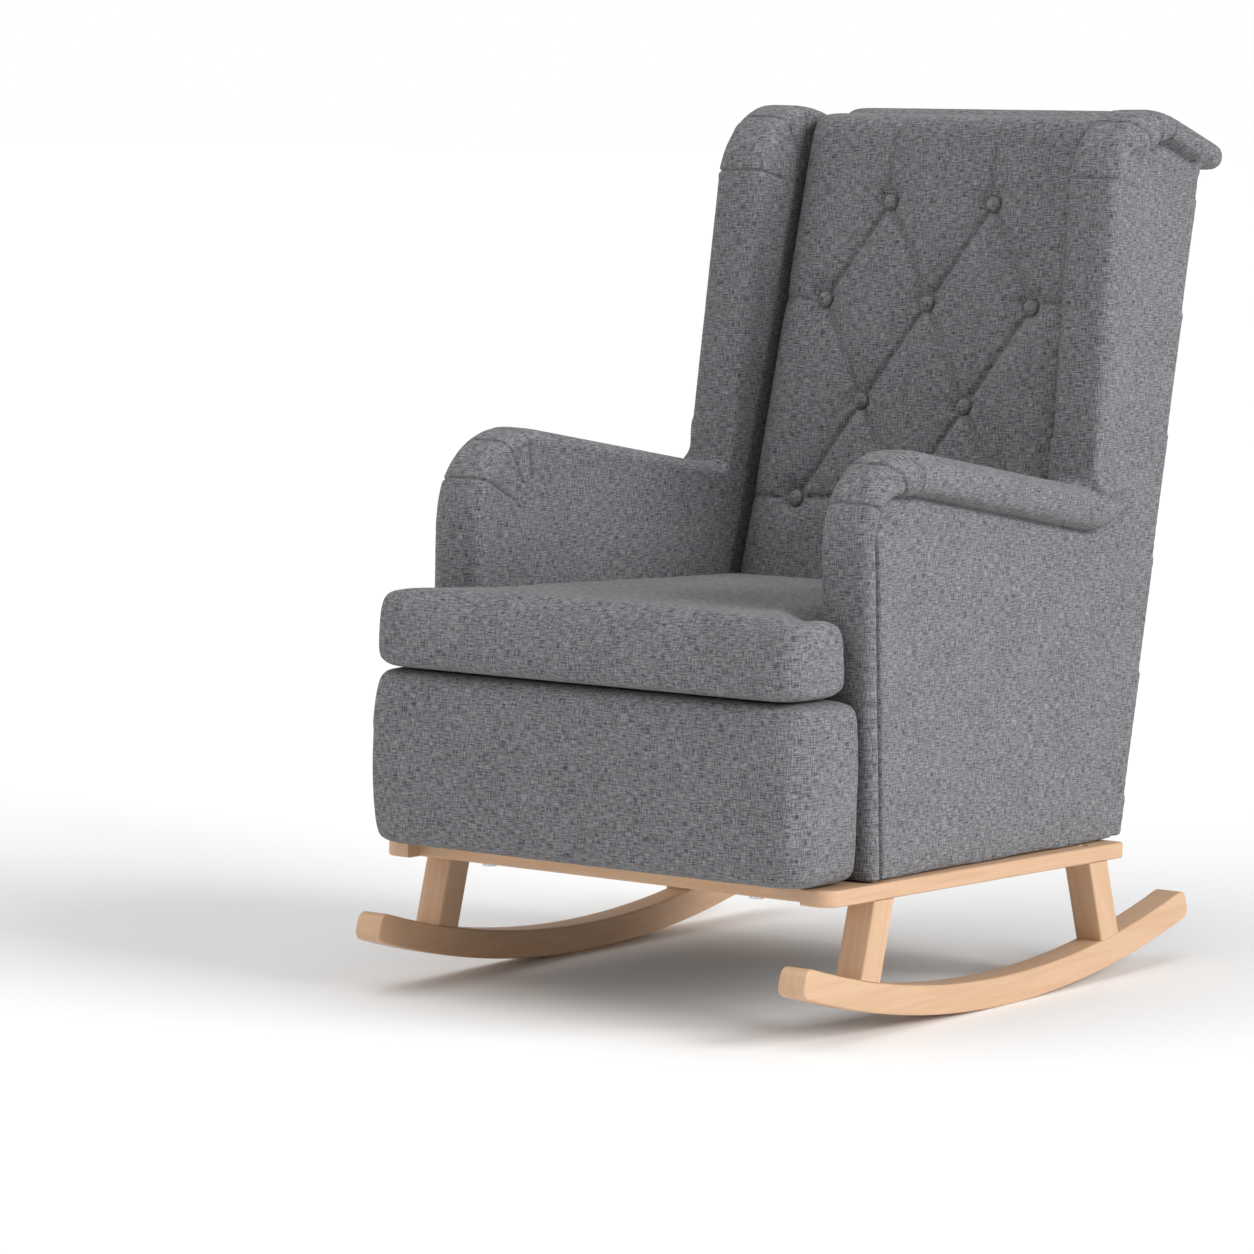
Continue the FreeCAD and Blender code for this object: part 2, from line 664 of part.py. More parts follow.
def roll_section(point, direction, thick, grown=0.0):
    """The section of a roll at a (y, z) point of its path, square to a (y, z) direction."""
    normal = V(0, -direction[1], direction[0])
    round_over = thick * 0.42 + grown
    return section(path_point(*point), X_AXIS, normal, ROLL_HALF + grown, thick / 2 + grown, round_over)


def arm_roll():
    """The padded roll that comes up round the arm's nose and runs back to the wing."""
    radius = NOSE_RADIUS - ARM_ROLL / 2
    centre = (ARM_FRONT + NOSE_RADIUS, ARM_TOP - NOSE_RADIUS)
    bend = 90.0 - ARM_SLOPE
    start, middle, top = on_circle(centre, radius, (180.0, (180.0 + bend) / 2, bend))
    end_y = wing_front(WING_FOOT[1] - ARM_ROLL / 2) + 30.0
    end = (end_y, top[1] - (end_y - top[0]) * tan(ARM_SLOPE))
    path = [
        Part.Arc(path_point(*start), path_point(*middle), path_point(*top)).toShape(),
        Part.makeLine(path_point(*top), path_point(*end)),
    ]
    roll = swept(path, roll_section(start, (0, 1), ARM_ROLL))
    trim = prism([(wing_front(0.0, -LAYER_GAP), 0.0), (BIG, 0.0), (BIG, BIG),
                  (wing_front(BIG, -LAYER_GAP), BIG)], 0, BIG)
    return lean_in(roll.cut(trim))


def arm_facing():
    """The flat padded front of the arm, from the rails up to the roll."""
    top = ARM_TOP - NOSE_RADIUS - LAYER_GAP
    flat = block(SIDE_INNER, HALF_WIDTH, ARM_FRONT, ARM_FRONT + FACING_PAD, 0, top)
    flat = flat.makeFillet(ARM_FACING_ROUND, edges_along(flat, V(0, 0, 1), lambda p: p.y < ARM_FRONT + 1))
    return above_rails(lean_in(flat), LAYER_GAP)


def wing_facing():
    """The padded front border of the wing, from the arm up to the shoulder."""
    low, high = arm_split(), WING_SHOULDER[1] + WING_ROLL / 4
    strip = prism([
        (wing_front(low), low), (wing_front(high), high),
        (wing_front(high, WING_FACING), high), (wing_front(low, WING_FACING), low),
    ], SIDE_INNER, HALF_WIDTH)
    rise = WING_SHOULDER[1] - WING_FOOT[1]
    run = WING_SHOULDER[0] - WING_FOOT[0]
    along = V(0, run, rise).normalize()
    fronts = edges_along(strip, along, lambda p: p.y < wing_front(p.z) + 1)
    strip = strip.makeFillet(FACING_ROUND, fronts).cut(wing_tube(LAYER_GAP))
    return lean_in(max(strip.Solids, key=lambda solid: solid.Volume))


def wing_tube(grown=0.0):
    """The roll on top of the wing with a square end, or the same thing grown to trim its neighbours."""
    half = WING_ROLL / 2
    rise = WING_SHOULDER[1] - WING_FOOT[1]
    run = WING_SHOULDER[0] - WING_FOOT[0]
    tilt = math.degrees(math.atan(run / rise))
    start = (wing_front(WING_SHOULDER[1], half), WING_SHOULDER[1])
    # the arc leaves the shoulder along the front line and passes into the falling top line
    radius = (WING_TOP - half - start[1]) / (1 - sin(tilt))
    centre = (start[0] + radius * cos(tilt), start[1] - radius * sin(tilt))
    begin, end = 180.0 - tilt, 90.0 - HORN_SLOPE
    start, middle, top = on_circle(centre, radius, (begin, (begin + end) / 2, end))
    horn = (HORN_END, top[1] - (HORN_END - top[0]) * tan(HORN_SLOPE))
    path = [
        Part.Arc(path_point(*start), path_point(*middle), path_point(*top)).toShape(),
        Part.makeLine(path_point(*top), path_point(*horn)),
    ]
    if grown:
        foot = (start[0] - grown * sin(tilt), start[1] - grown * cos(tilt))
        path.insert(0, Part.makeLine(path_point(*foot), path_point(*start)))
        start = foot
    return swept(path, roll_section(start, (sin(tilt), cos(tilt)), WING_ROLL, grown))


def wing_roll():
    """The rolled top of the wing: up from the shoulder, over the crest and back to the horn."""
    roll = wing_tube()
    end_normal = V(0, cos(HORN_SLOPE), -sin(HORN_SLOPE))
    tip = max(roll.Vertexes, key=lambda vertex: vertex.Point.dot(end_normal)).Point
    rim = edges_on_plane(roll, tip, end_normal)
    return lean_in(roll.makeFillet(HORN_ROUND, rim))


def clear_of_wings(shape):
    """Trim a piece of the back where the wing rolls pass."""
    tube = lean_in(wing_tube(LAYER_GAP))
    trimmed = shape.cut(tube).cut(tube.mirror(V(0, 0, 0), X_AXIS))
    return max(trimmed.Solids, key=lambda solid: solid.Volume)


# ---- back ------------------------------------------------------------------------------------
BACK_LENGTH = (BACK_TOP - BACK_FOOT[1]) / cos(BACK_LEAN)
TOP_ROLL = 25.0
FRAME_REAR = FRAME_THICK - FRAME_FRONT
RAIL_TOP = BACK_LENGTH - TOP_ROLL - 2.0
POST_FOOT = 12.0
BACK_HALF = inner_face(rear_line(BACK_TOP), BACK_TOP, BACK_SIDE_GAP)


def back_post():
    return on_back(block(BACK_HALF - POST_WIDTH, BACK_HALF, -FRAME_FRONT, FRAME_REAR, POST_FOOT, RAIL_TOP))


def back_rail(v):
    half = BACK_HALF - POST_WIDTH
    return on_back(block(-half, half, -FRAME_FRONT, FRAME_REAR, v, v + BACK_RAIL))


def back_webbing():
    v0, v1 = BACK_PAD_LOW + 5.0, RAIL_TOP - 4.0
    uprights = evenly(POST_WIDTH - BACK_HALF, BACK_HALF - POST_WIDTH, 4)
    made = []
    for band in bands(uprights, evenly(v0, v1, 5), BACK_HALF, v0, v1, 0.0):
        band.rotate(V(0, 0, 0), X_AXIS, 90.0)
        band.translate(V(0, POST_FRONT, 0))
        made.append(on_back(band))
    return made


def button_places():
    """(x, v) of every button: rows of two and three, set as diamonds."""
    places = []
    for row, columns in enumerate(((-1, 1), (-2, 0, 2), (-1, 1), (-2, 0, 2))):
        for column in columns:
            places.append((column * BUTTON_COLUMN, BUTTON_TOP - row * BUTTON_ROW))
    return places


def back_cushion():
    """The buttoned inside back, from the deck to the top roll."""
    v1 = BACK_LENGTH - BACK_PAD_INSET
    corners = [(PAD_BACK, BACK_PAD_LOW), (PAD_BACK, v1), (PAD_FACE, v1), (PAD_FACE, BACK_PAD_LOW)]
    pad = on_back(prism(corners, -SIDE_INNER, SIDE_INNER))
    pad = between_sides(pad, BACK_SIDE_GAP)
    fronts = []
    for edge in pad.Edges:
        middle = edge.CenterOfMass
        ahead = middle.y < rear_line(middle.z, PAD_FACE + 6.0)
        low = middle.z < BACK_FOOT[1] + BACK_PAD_LOW + 25.0
        if ahead and not low:
            fronts.append(edge)
    pad = pad.makeFillet(BACK_PAD_ROUND, fronts)
    for x, v in button_places():
        cone = Part.makeCone(BUTTON_RADIUS + 1.0, DIMPLE_RADIUS, DIMPLE_DEPTH + 1.0,
                             V(x, PAD_FACE + DIMPLE_DEPTH, v), V(0, -1, 0))
        hole = rod(V(x, PAD_BACK + 5.0, v), V(0, -1, 0), -PAD_FACE, TIE_RADIUS + SCREW_FIT)
        pad = pad.cut(on_back(cone)).cut(on_back(hole))
    return clear_of_wings(pad)


def buttons():
    made = []
    for x, v in button_places():
        base = PAD_FACE + DIMPLE_DEPTH - SCREW_FIT
        disc = rod(V(x, base, v), V(0, -1, 0), BUTTON_THICK, BUTTON_RADIUS)
        rim = []
        for edge in disc.Edges:
            if edge.CenterOfMass.y < base - BUTTON_THICK / 2 and edge.BoundBox.XLength > 1:
                rim.append(edge)
        disc = disc.makeFillet(BUTTON_THICK * 0.6, rim)
        made.append(on_back(disc))
    return made


def button_ties():
    made = []
    for x, v in button_places():
        rear = PAD_BACK + LAYER_GAP / 2
        front = PAD_FACE + DIMPLE_DEPTH - SCREW_FIT
        made.append(on_back(rod(V(x, rear, v), V(0, -1, 0), rear - front, TIE_RADIUS)))
    return made


def top_roll():
    """The padded roll over the back's top rail."""
    v1 = BACK_LENGTH
    rear = REAR_OUT + OUTER_BACK - 1.0
    front = PAD_BACK + LAYER_GAP
    roll = block(-SIDE_INNER, SIDE_INNER, front, rear, RAIL_TOP + LAYER_GAP, v1)
    roll = roll.makeFillet(TOP_ROLL * 0.85, edges_along(roll, X_AXIS, lambda p: p.z > v1 - 1))
    return clear_of_wings(between_sides(on_back(roll), BACK_SIDE_GAP))


def outer_back():
    """The padded panel that closes the back from the rails to the top roll."""
    y0 = REAR_OUT + LAYER_GAP
    top_half = OUTER_BACK_HALF - (BOX_HALF - BACK_HALF) - APRON_TOP * tan(SIDE_TAPER)
    corners = [
        V(-OUTER_BACK_HALF, y0, POST_FOOT), V(OUTER_BACK_HALF, y0, POST_FOOT),
        V(top_half, y0, RAIL_TOP), V(-top_half, y0, RAIL_TOP),
    ]
    face = Part.Face(Part.makePolygon(corners + corners[:1]))
    panel = face.extrude(V(0, OUTER_BACK, 0))
    rear_edges = []
    for edge in panel.Edges:
        middle = edge.CenterOfMass
        upright = edge.BoundBox.ZLength > 100.0
        if middle.y > y0 + OUTER_BACK - 1 and upright:
            rear_edges.append(edge)
    return clear_of_wings(on_back(panel.makeFillet(OUTER_BACK * 0.8, rear_edges)))


# ---- the whole chair -------------------------------------------------------------------------
def mirrored(shapes):
    return shapes + [shape.mirror(V(0, 0, 0), X_AXIS) for shape in shapes]


def rocker_with_holes():
    shape = rocker()
    for top_y, splay in LEGS.values():
        shape = shape.cut(rocker_screw(top_y, splay, SCREW_FIT))
    return shape


def chair():
    parts = {}

    def pair(name, make):
        left, right = both(make)
        parts[name + "_left"] = [left]
        parts[name + "_right"] = [right]

    pair("rocker", rocker_with_holes)
    for end, (top_y, splay) in LEGS.items():
        pair("leg_" + end, lambda: leg(top_y, splay))
    pair("side_rail", side_rail)
    for end in CROSS:
        parts["cross_rail_" + end] = [cross_rail(end)]
    parts["rail_dowels"] = mirrored([on_rails(d) for d in all_dowels()])
    parts["leg_screws"] = mirrored([leg_screw(*place) for place in LEGS.values()])
    parts["rocker_screws"] = mirrored([rocker_screw(*place) for place in LEGS.values()])
    parts["body_bolts"] = mirrored([on_rails(body_bolt(end)) for end in CROSS])
    parts["tee_nuts"] = mirrored([on_rails(tee_nut(end)) for end in CROSS])
    parts["corner_blocks"] = mirrored([on_rails(corner_block(end)) for end in CROSS])

    parts["seat_board_front"] = [seat_board_front()]
    parts["seat_board_rear"] = [seat_board_rear()]
    pair("seat_board_side", seat_board_side)
    parts["seat_webbing"] = seat_webbing()
    parts["deck_foam"] = [deck_foam()]
    parts["seat_deck"] = [seat_deck()]
    parts["seat_apron"] = [seat_apron()]
    parts["seat_cushion"] = [seat_cushion()]
    parts["dust_cover"] = [dust_cover()]

    pair("side_board", side_board)
    for layer, (x0, x1, out) in LAYERS.items():
        pair("arm_" + layer + "_pad", lambda: side_layer(arm_outline(out), x0, x1))
        pair("wing_" + layer + "_pad", lambda: side_layer(wing_outline(out), x0, x1))
    pair("arm_facing", arm_facing)
    pair("arm_roll", arm_roll)
    pair("wing_facing", wing_facing)
    pair("wing_roll", wing_roll)

    pair("back_post", back_post)
    parts["back_rail_top"] = [back_rail(RAIL_TOP - BACK_RAIL)]
    parts["back_rail_middle"] = [back_rail(RAIL_TOP * 0.55)]
    parts["back_rail_lower"] = [back_rail(RAIL_TOP * 0.28)]
    parts["back_webbing"] = back_webbing()
    parts["back_cushion"] = [back_cushion()]
    parts["back_top_roll"] = [top_roll()]
    parts["outer_back"] = [outer_back()]
    parts["tufting_buttons"] = buttons()
    parts["button_ties"] = button_ties()
    return parts


def save(parts):
    everything = Part.makeCompound([solid for solids in parts.values() for solid in solids])
    box = everything.optimalBoundingBox(False)
    shift = V(0, -(box.YMin + box.YMax) / 2, -box.ZMin)
    os.makedirs("parts", exist_ok=True)
    for name, solids in parts.items():
        solids = [piece for shape in solids for piece in shape.Solids]
        for piece in solids:
            piece.translate(shift)
        whole = solids[0] if len(solids) == 1 else Part.makeCompound(solids)
        whole.exportStep("parts/" + name + ".step")
        size = whole.optimalBoundingBox(False)
        print(name, len(solids), whole.isValid(), round(sum(s.Volume for s in solids) / 1000.0, 1), "cm3",
              [round(v, 1) for v in (size.XMin, size.XMax, size.YMin, size.YMax, size.ZMin, size.ZMax)])
    print("moved along Y by", round(shift.y, 3), "and up by", round(shift.z, 3))


save(chair())
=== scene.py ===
"""Looks of the upholstered wing rocking chair.

Metres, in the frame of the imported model: +X to the sitter's left, the chair faces -Y, +Z up.
"""

import json
import math

import bmesh
import bpy
import numpy as np
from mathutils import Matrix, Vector


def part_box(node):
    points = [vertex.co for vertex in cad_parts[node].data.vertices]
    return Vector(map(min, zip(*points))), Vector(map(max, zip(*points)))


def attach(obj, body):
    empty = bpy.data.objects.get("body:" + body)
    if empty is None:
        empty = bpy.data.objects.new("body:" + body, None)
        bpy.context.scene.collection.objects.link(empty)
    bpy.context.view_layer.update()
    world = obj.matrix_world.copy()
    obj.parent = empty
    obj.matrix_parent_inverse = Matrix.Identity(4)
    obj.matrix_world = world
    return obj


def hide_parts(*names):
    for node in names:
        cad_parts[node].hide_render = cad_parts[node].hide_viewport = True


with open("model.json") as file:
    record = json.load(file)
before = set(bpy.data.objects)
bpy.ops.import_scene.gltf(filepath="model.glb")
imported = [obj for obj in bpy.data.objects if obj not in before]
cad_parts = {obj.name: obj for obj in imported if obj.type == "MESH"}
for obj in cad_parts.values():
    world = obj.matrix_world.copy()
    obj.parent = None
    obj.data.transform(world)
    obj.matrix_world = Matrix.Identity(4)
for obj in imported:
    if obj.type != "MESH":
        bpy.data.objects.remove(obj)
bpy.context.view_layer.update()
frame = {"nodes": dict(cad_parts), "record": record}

# ---- the chair's own lines, as in its parts ---------------------------------------------------
MOUNTS = {mount["name"]: mount for mount in frame["record"]["mounts"]}
CONTACT_Y = MOUNTS["floor_contact"]["pos_m"][1]
HALF_WIDTH = 0.316
RAIL_THICK = 0.0185
RAIL_HEIGHT = 0.1438
RAIL_SLOPE = math.radians(1.364)
APRON_TOP = 0.2195
SIDE_INNER = 0.247
SIDE_TAPER = math.radians(1.2)
TOE_IN = math.radians(1.3)
ARM_FRONT = -0.268
ARM_TOP = 0.633
NOSE_RADIUS = 0.100
ARM_SLOPE = math.radians(10.4)
WING_FOOT = (0.192, 0.562)
WING_SHOULDER = (0.241, 0.905)
WING_TOP = 0.999
WING_ROLL = 0.044
HORN_SLOPE = math.radians(19.0)
BACK_FOOT = (0.233, 0.157)
BACK_LEAN = math.radians(14.1)
BACK_TOP = 0.987
BACK_LENGTH = (BACK_TOP - BACK_FOOT[1]) / math.cos(BACK_LEAN)
PAD_FACE = -0.1059
CUSHION_FRONT = -0.400
CUSHION_HALF = 0.300
CUSHION_EARS = -0.280
CUSHION_LOW = 0.2205
CUSHION_THICK = 0.090
CUSHION_DROP = math.radians(1.3)
BUTTON_TOP = 0.722
BUTTON_ROW = 0.121
BUTTON_COLUMN = 0.074
BUTTON_RADIUS = 0.0098
DIMPLE_DEPTH = 0.013
DIMPLE_REACH = 0.019
PLEAT_DEPTH = 0.0125
CREST_PLEAT = 0.0115
SIDE_PLEAT = 0.0095
FULLNESS = 0.0070

FINE = 0.004              # cell of the remeshed covers
COARSE = 0.005            # cell of the padding that is blown up


# ---- places on the chair ----------------------------------------------------------------------
def rail_place(points):
    """(s, h) of points: along the rails and square to them."""
    c, n = math.cos(RAIL_SLOPE), math.sin(RAIL_SLOPE)
    y, z = points[:, 1] - CONTACT_Y, points[:, 2] - RAIL_HEIGHT
    return y * c - z * n, y * n + z * c


def on_back(x, w, v):
    """A place given out of the leaning back (w) and up it (v)."""
    c, n = math.cos(BACK_LEAN), math.sin(BACK_LEAN)
    return np.array([x, BACK_FOOT[0] + CONTACT_Y + w * c + v * n, BACK_FOOT[1] - w * n + v * c])


def back_place(points):
    """(w, v) of points: out of the leaning back and up it."""
    c, n = math.cos(BACK_LEAN), math.sin(BACK_LEAN)
    y, z = points[:, 1] - CONTACT_Y - BACK_FOOT[0], points[:, 2] - BACK_FOOT[1]
    return y * c - z * n, y * n + z * c


def inner_face(y, z):
    """The x of the inside of the left side at a place."""
    drop = (z - RAIL_HEIGHT) * math.tan(SIDE_TAPER)
    return SIDE_INNER - drop - (y - CONTACT_Y - ARM_FRONT) * math.tan(TOE_IN)


def wing_front(z):
    run = (WING_SHOULDER[0] - WING_FOOT[0]) / (WING_SHOULDER[1] - WING_FOOT[1])
    return WING_FOOT[0] + (z - WING_FOOT[1]) * run + CONTACT_Y


def step(low, high, value):
    """0 below low, 1 above high and smooth between."""
    t = np.clip((value - low) / (high - low), 0, 1)
    return t * t * (3 - 2 * t)


# ---- meshes -----------------------------------------------------------------------------------
def piece(name, verts, faces):
    mesh = bpy.data.meshes.new(name)
    mesh.from_pydata([tuple(v) for v in verts], [], faces)
    made = bpy.data.objects.new(name, mesh)
    bpy.context.scene.collection.objects.link(made)
    return made


def node_copy(names, fill=()):
    """One mesh of several CAD nodes, with loose doubles merged, and of extra closed blocks."""
    merged = bmesh.new()
    for name in names:
        merged.from_mesh(frame["nodes"][name].data)
    bmesh.ops.remove_doubles(merged, verts=merged.verts, dist=1e-6)
    for corners in fill:
        made = [merged.verts.new(c) for c in corners]
        for quad in ((0, 3, 2, 1), (4, 5, 6, 7), (0, 1, 5, 4), (1, 2, 6, 5), (2, 3, 7, 6), (3, 0, 4, 7)):
            merged.faces.new([made[i] for i in quad])
    return merged


def as_piece(name, merged):
    mesh = bpy.data.meshes.new(name)
    merged.to_mesh(mesh)
    merged.free()
    made = bpy.data.objects.new(name, mesh)
    bpy.context.scene.collection.objects.link(made)
    return made


def settle(made):
    """Replace a piece's mesh by what its modifiers make of it."""
    graph = bpy.context.evaluated_depsgraph_get()
    mesh = bpy.data.meshes.new_from_object(made.evaluated_get(graph))
    old = made.data
    made.modifiers.clear()
    made.data = mesh
    bpy.data.meshes.remove(old)
    mesh.name = made.name
    return made


def remesh(made, cell):
    change = made.modifiers.new("cells", "REMESH")
    change.mode = "VOXEL"
    change.voxel_size = cell
    return settle(made)


def finer(made):
    change = made.modifiers.new("finer", "SUBSURF")
    change.levels = change.render_levels = 1
    return settle(made)


def points_of(made):
    flat = np.empty(len(made.data.vertices) * 3)
    made.data.vertices.foreach_get("co", flat)
    return flat.reshape(-1, 3)


def put_points(made, points):
    made.data.vertices.foreach_set("co", points.ravel())
    made.data.update()


def normals_of(made):
    flat = np.empty(len(made.data.vertices) * 3)
    made.data.vertices.foreach_get("normal", flat)
    return flat.reshape(-1, 3)


def edges_of(made):
    flat = np.empty(len(made.data.edges) * 2, dtype=np.int64)
    made.data.edges.foreach_get("vertices", flat)
    return flat.reshape(-1, 2)


def relax(made, rounds, hold=None, rate=0.5):
    """Soften a piece's corners; hold, from 0 to 1 at each point, keeps points where they are."""
    points, edges = points_of(made), edges_of(made)
    a, b = edges[:, 0], edges[:, 1]
    count = len(points)
    near = np.bincount(a, minlength=count) + np.bincount(b, minlength=count)
    free = rate if hold is None else rate * (1 - hold)[:, None]
    for _ in range(rounds):
        middle = np.empty_like(points)
        for k in range(3):
            total = np.bincount(a, points[b, k], count) + np.bincount(b, points[a, k], count)
            middle[:, k] = total / near
        points = points + free * (middle - points)
    put_points(made, points)


def blow_up(made, pressure, cap, hold=None, frames=20):
    """Cloth simulation of a stuffed cover: hold, from 0 to 1, is how far a point is sewn down."""
    start = points_of(made)
    cloth = made.modifiers.new("cover", "CLOTH")
    cloth.settings.quality = 4
    cloth.settings.mass = 0.25
    cloth.settings.tension_stiffness = cloth.settings.compression_stiffness = 12
    cloth.settings.bending_stiffness = 2
    cloth.settings.use_pressure = True
    cloth.settings.uniform_pressure_force = pressure
    cloth.settings.effector_weights.gravity = 0
    cloth.collision_settings.use_collision = False
    cloth.point_cache.frame_start, cloth.point_cache.frame_end = 1, frames
    if hold is not None:
        sewn = made.vertex_groups.new(name="sewn")
        for i in np.nonzero(hold > 0.02)[0]:
            sewn.add([int(i)], float(hold[i]), "REPLACE")
        cloth.settings.vertex_group_mass = "sewn"
    for number in range(1, frames + 1):
        bpy.context.scene.frame_set(number)
    graph = bpy.context.evaluated_depsgraph_get()
    blown = points_of(made.evaluated_get(graph))
    made.modifiers.clear()
    made.vertex_groups.clear()
    move = blown - start
    far = np.linalg.norm(move, axis=1)[:, None]
    put_points(made, start + move * np.minimum(1, cap / np.maximum(far, 1e-9)))
    bpy.context.scene.frame_set(1)


def lay_cloth(made, offset=(0.0, 0.0)):
    """Lay the weave on a piece: each face takes its pattern from the plane it faces most."""
    mesh = made.data
    layer = mesh.uv_layers.new(name="cloth")
    points, count = points_of(made), len(mesh.loops)
    corner = np.empty(count, dtype=np.int64)
    mesh.loops.foreach_get("vertex_index", corner)
    faces = len(mesh.polygons)
    starts, totals = np.empty(faces, dtype=np.int64), np.empty(faces, dtype=np.int64)
    normal = np.empty(faces * 3)
    mesh.polygons.foreach_get("loop_start", starts)
    mesh.polygons.foreach_get("loop_total", totals)
    mesh.polygons.foreach_get("normal", normal)
    facing = np.argmax(np.abs(normal.reshape(-1, 3)) * (1.0, 1.0, 0.9), axis=1)
    of_corner = np.empty(count, dtype=np.int64)
    of_corner[:] = np.repeat(facing[np.argsort(starts)], totals[np.argsort(starts)])
    place = points[corner]
    across = np.where(of_corner == 0, place[:, 1], place[:, 0])
    up = np.where(of_corner == 2, place[:, 1], place[:, 2])
    both = np.stack([across + offset[0], up + offset[1]], axis=1)
    layer.data.foreach_set("uv", both.ravel())
    mesh.shade_smooth()


def finish_soft(made, nodes, body, offset):
    lay_cloth(made, offset)
    made.data.materials.clear()
    made.data.materials.append(UPHOLSTERY)
    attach(made, body)
    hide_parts(*nodes)


# ---- shader writing ---------------------------------------------------------------------------
class Wire:
    """A socket that Python's arithmetic works on."""

    def __init__(self, finish, socket):
        self.finish, self.socket = finish, socket

    def __add__(self, other):
        return self.finish.maths("ADD", self, other)

    __radd__ = __add__

    def __sub__(self, other):
        return self.finish.maths("SUBTRACT", self, other)

    def __rsub__(self, other):
        return self.finish.maths("SUBTRACT", other, self)

    def __mul__(self, other):
        return self.finish.maths("MULTIPLY", self, other)

    __rmul__ = __mul__


class Finish:
    """A material while it is being mixed."""

    def __init__(self, name):
        self.material = bpy.data.materials.new(name)
        self.material.use_nodes = True
        self.tree = self.material.node_tree
        self.tree.nodes.clear()

    def node(self, kind, settings=None, inputs=None, out=0):
        made = self.tree.nodes.new(kind)
        for key, value in (settings or {}).items():
            if key == "stops":
                self.set_stops(made.color_ramp, value)
            else:
                setattr(made, key, value)
        for key, value in (inputs or {}).items():
            if isinstance(value, Wire):
                self.tree.links.new(value.socket, made.inputs[key])
            else:
                made.inputs[key].default_value = value
        return Wire(self, made.outputs[out]) if made.outputs else made

    @staticmethod
    def set_stops(ramp, stops):
        while len(ramp.elements) < len(stops):
            ramp.elements.new(0.5)
        for element, (place, colour) in zip(ramp.elements, stops):
            element.position = place
            element.color = colour

    def maths(self, operation, a, b):
        return self.node("ShaderNodeMath", {"operation": operation}, {0: a, 1: b})

    def mix(self, factor, a, b):
        return self.node("ShaderNodeMix", {"data_type": "RGBA"}, {0: factor, 6: a, 7: b}, out=2)

    def stretched(self, place, sizes):
        return self.node("ShaderNodeVectorMath", {"operation": "MULTIPLY"}, {0: place, 1: sizes})

    def noise(self, place, scale, detail=2.0, roughness=0.5):
        return self.node("ShaderNodeTexNoise", None,
                         {"Vector": place, "Scale": scale, "Detail": detail, "Roughness": roughness})

    def band(self, value, low, high):
        """0 to 1 as a value goes from low to high."""
        return self.node("ShaderNodeMapRange", {"interpolation_type": "SMOOTHSTEP"},
                         {0: value, 1: low, 2: high, 3: 0.0, 4: 1.0})

    def bump(self, height, distance, strength=1.0):
        return self.node("ShaderNodeBump", None,
                         {"Height": height, "Distance": distance, "Strength": strength})

    def surface(self, inputs):
        shader = self.node("ShaderNodeBsdfPrincipled", None, inputs)
        self.node("ShaderNodeOutputMaterial", None, {"Surface": shader})
        return self.material


def grey(value, warm=0.0):
    return (value + warm, value, value - warm, 1.0)


def rgb(red, green, blue):
    """A screen colour from 0 to 255 as linear light."""
    linear = []
    for level in (red, green, blue):
        c = level / 255
        linear.append(c / 12.92 if c < 0.04045 else ((c + 0.055) / 1.055) ** 2.4)
    return (*linear, 1.0)


THREAD = 0.00115


def woven_cloth(name, dark, light, place_kind="uv", thread=THREAD):
    """Mottled plain weave: slubby threads both ways over a two-tone yarn."""
    cloth = Finish(name)
    if place_kind == "uv":
        place = cloth.node("ShaderNodeUVMap", {"uv_map": "cloth"})
    else:
        place = cloth.node("ShaderNodeTexCoord", None, None, out=3)
    weft = cloth.noise(cloth.stretched(place, (90.0, 0.9 / thread, 700.0)), 1.0, 1.0, 0.5)
    warp = cloth.noise(cloth.stretched(place, (0.9 / thread, 100.0, 90.0)), 1.0, 1.0, 0.5)
    fleck = cloth.noise(cloth.stretched(place, (700.0, 900.0, 800.0)), 1.0, 1.0, 0.5)
    cloud = cloth.noise(place, 16.0, 3.0, 0.5)
    tone = 0.5 + (weft - 0.5) * 1.50 + (warp - 0.5) * 1.30 + (fleck - 0.5) * 0.30 + (cloud - 0.5) * 0.20
    middle = tuple(0.5 * (a + b) for a, b in zip(dark, light))
    colour = cloth.node("ShaderNodeValToRGB", {"stops": [(0.05, dark), (0.50, middle), (0.95, light)]},
                        {0: tone})
    turns = math.pi / thread
    spread = cloth.stretched(place, (turns, turns, turns))
    across = cloth.node("ShaderNodeSeparateXYZ", None, {0: spread})
    along = cloth.node("ShaderNodeSeparateXYZ", None, {0: spread}, out=1)
    wave = cloth.maths("SINE", across, 0.0) * cloth.maths("SINE", along, 0.0)
    height = wave * 0.35 + weft * 0.8 + warp * 0.8
    return cloth.surface({
        "Base Color": colour,
        "Roughness": 0.86 + (fleck - 0.5) * 0.2,
        "Normal": cloth.bump(height, 0.0005, 0.5),
        "Specular IOR Level": 0.2,
        "Sheen Weight": 0.08,
        "Sheen Roughness": 0.5,
    })


UPHOLSTERY = woven_cloth("grey_melange_linen", rgb(58, 59, 62), rgb(148, 148, 151))


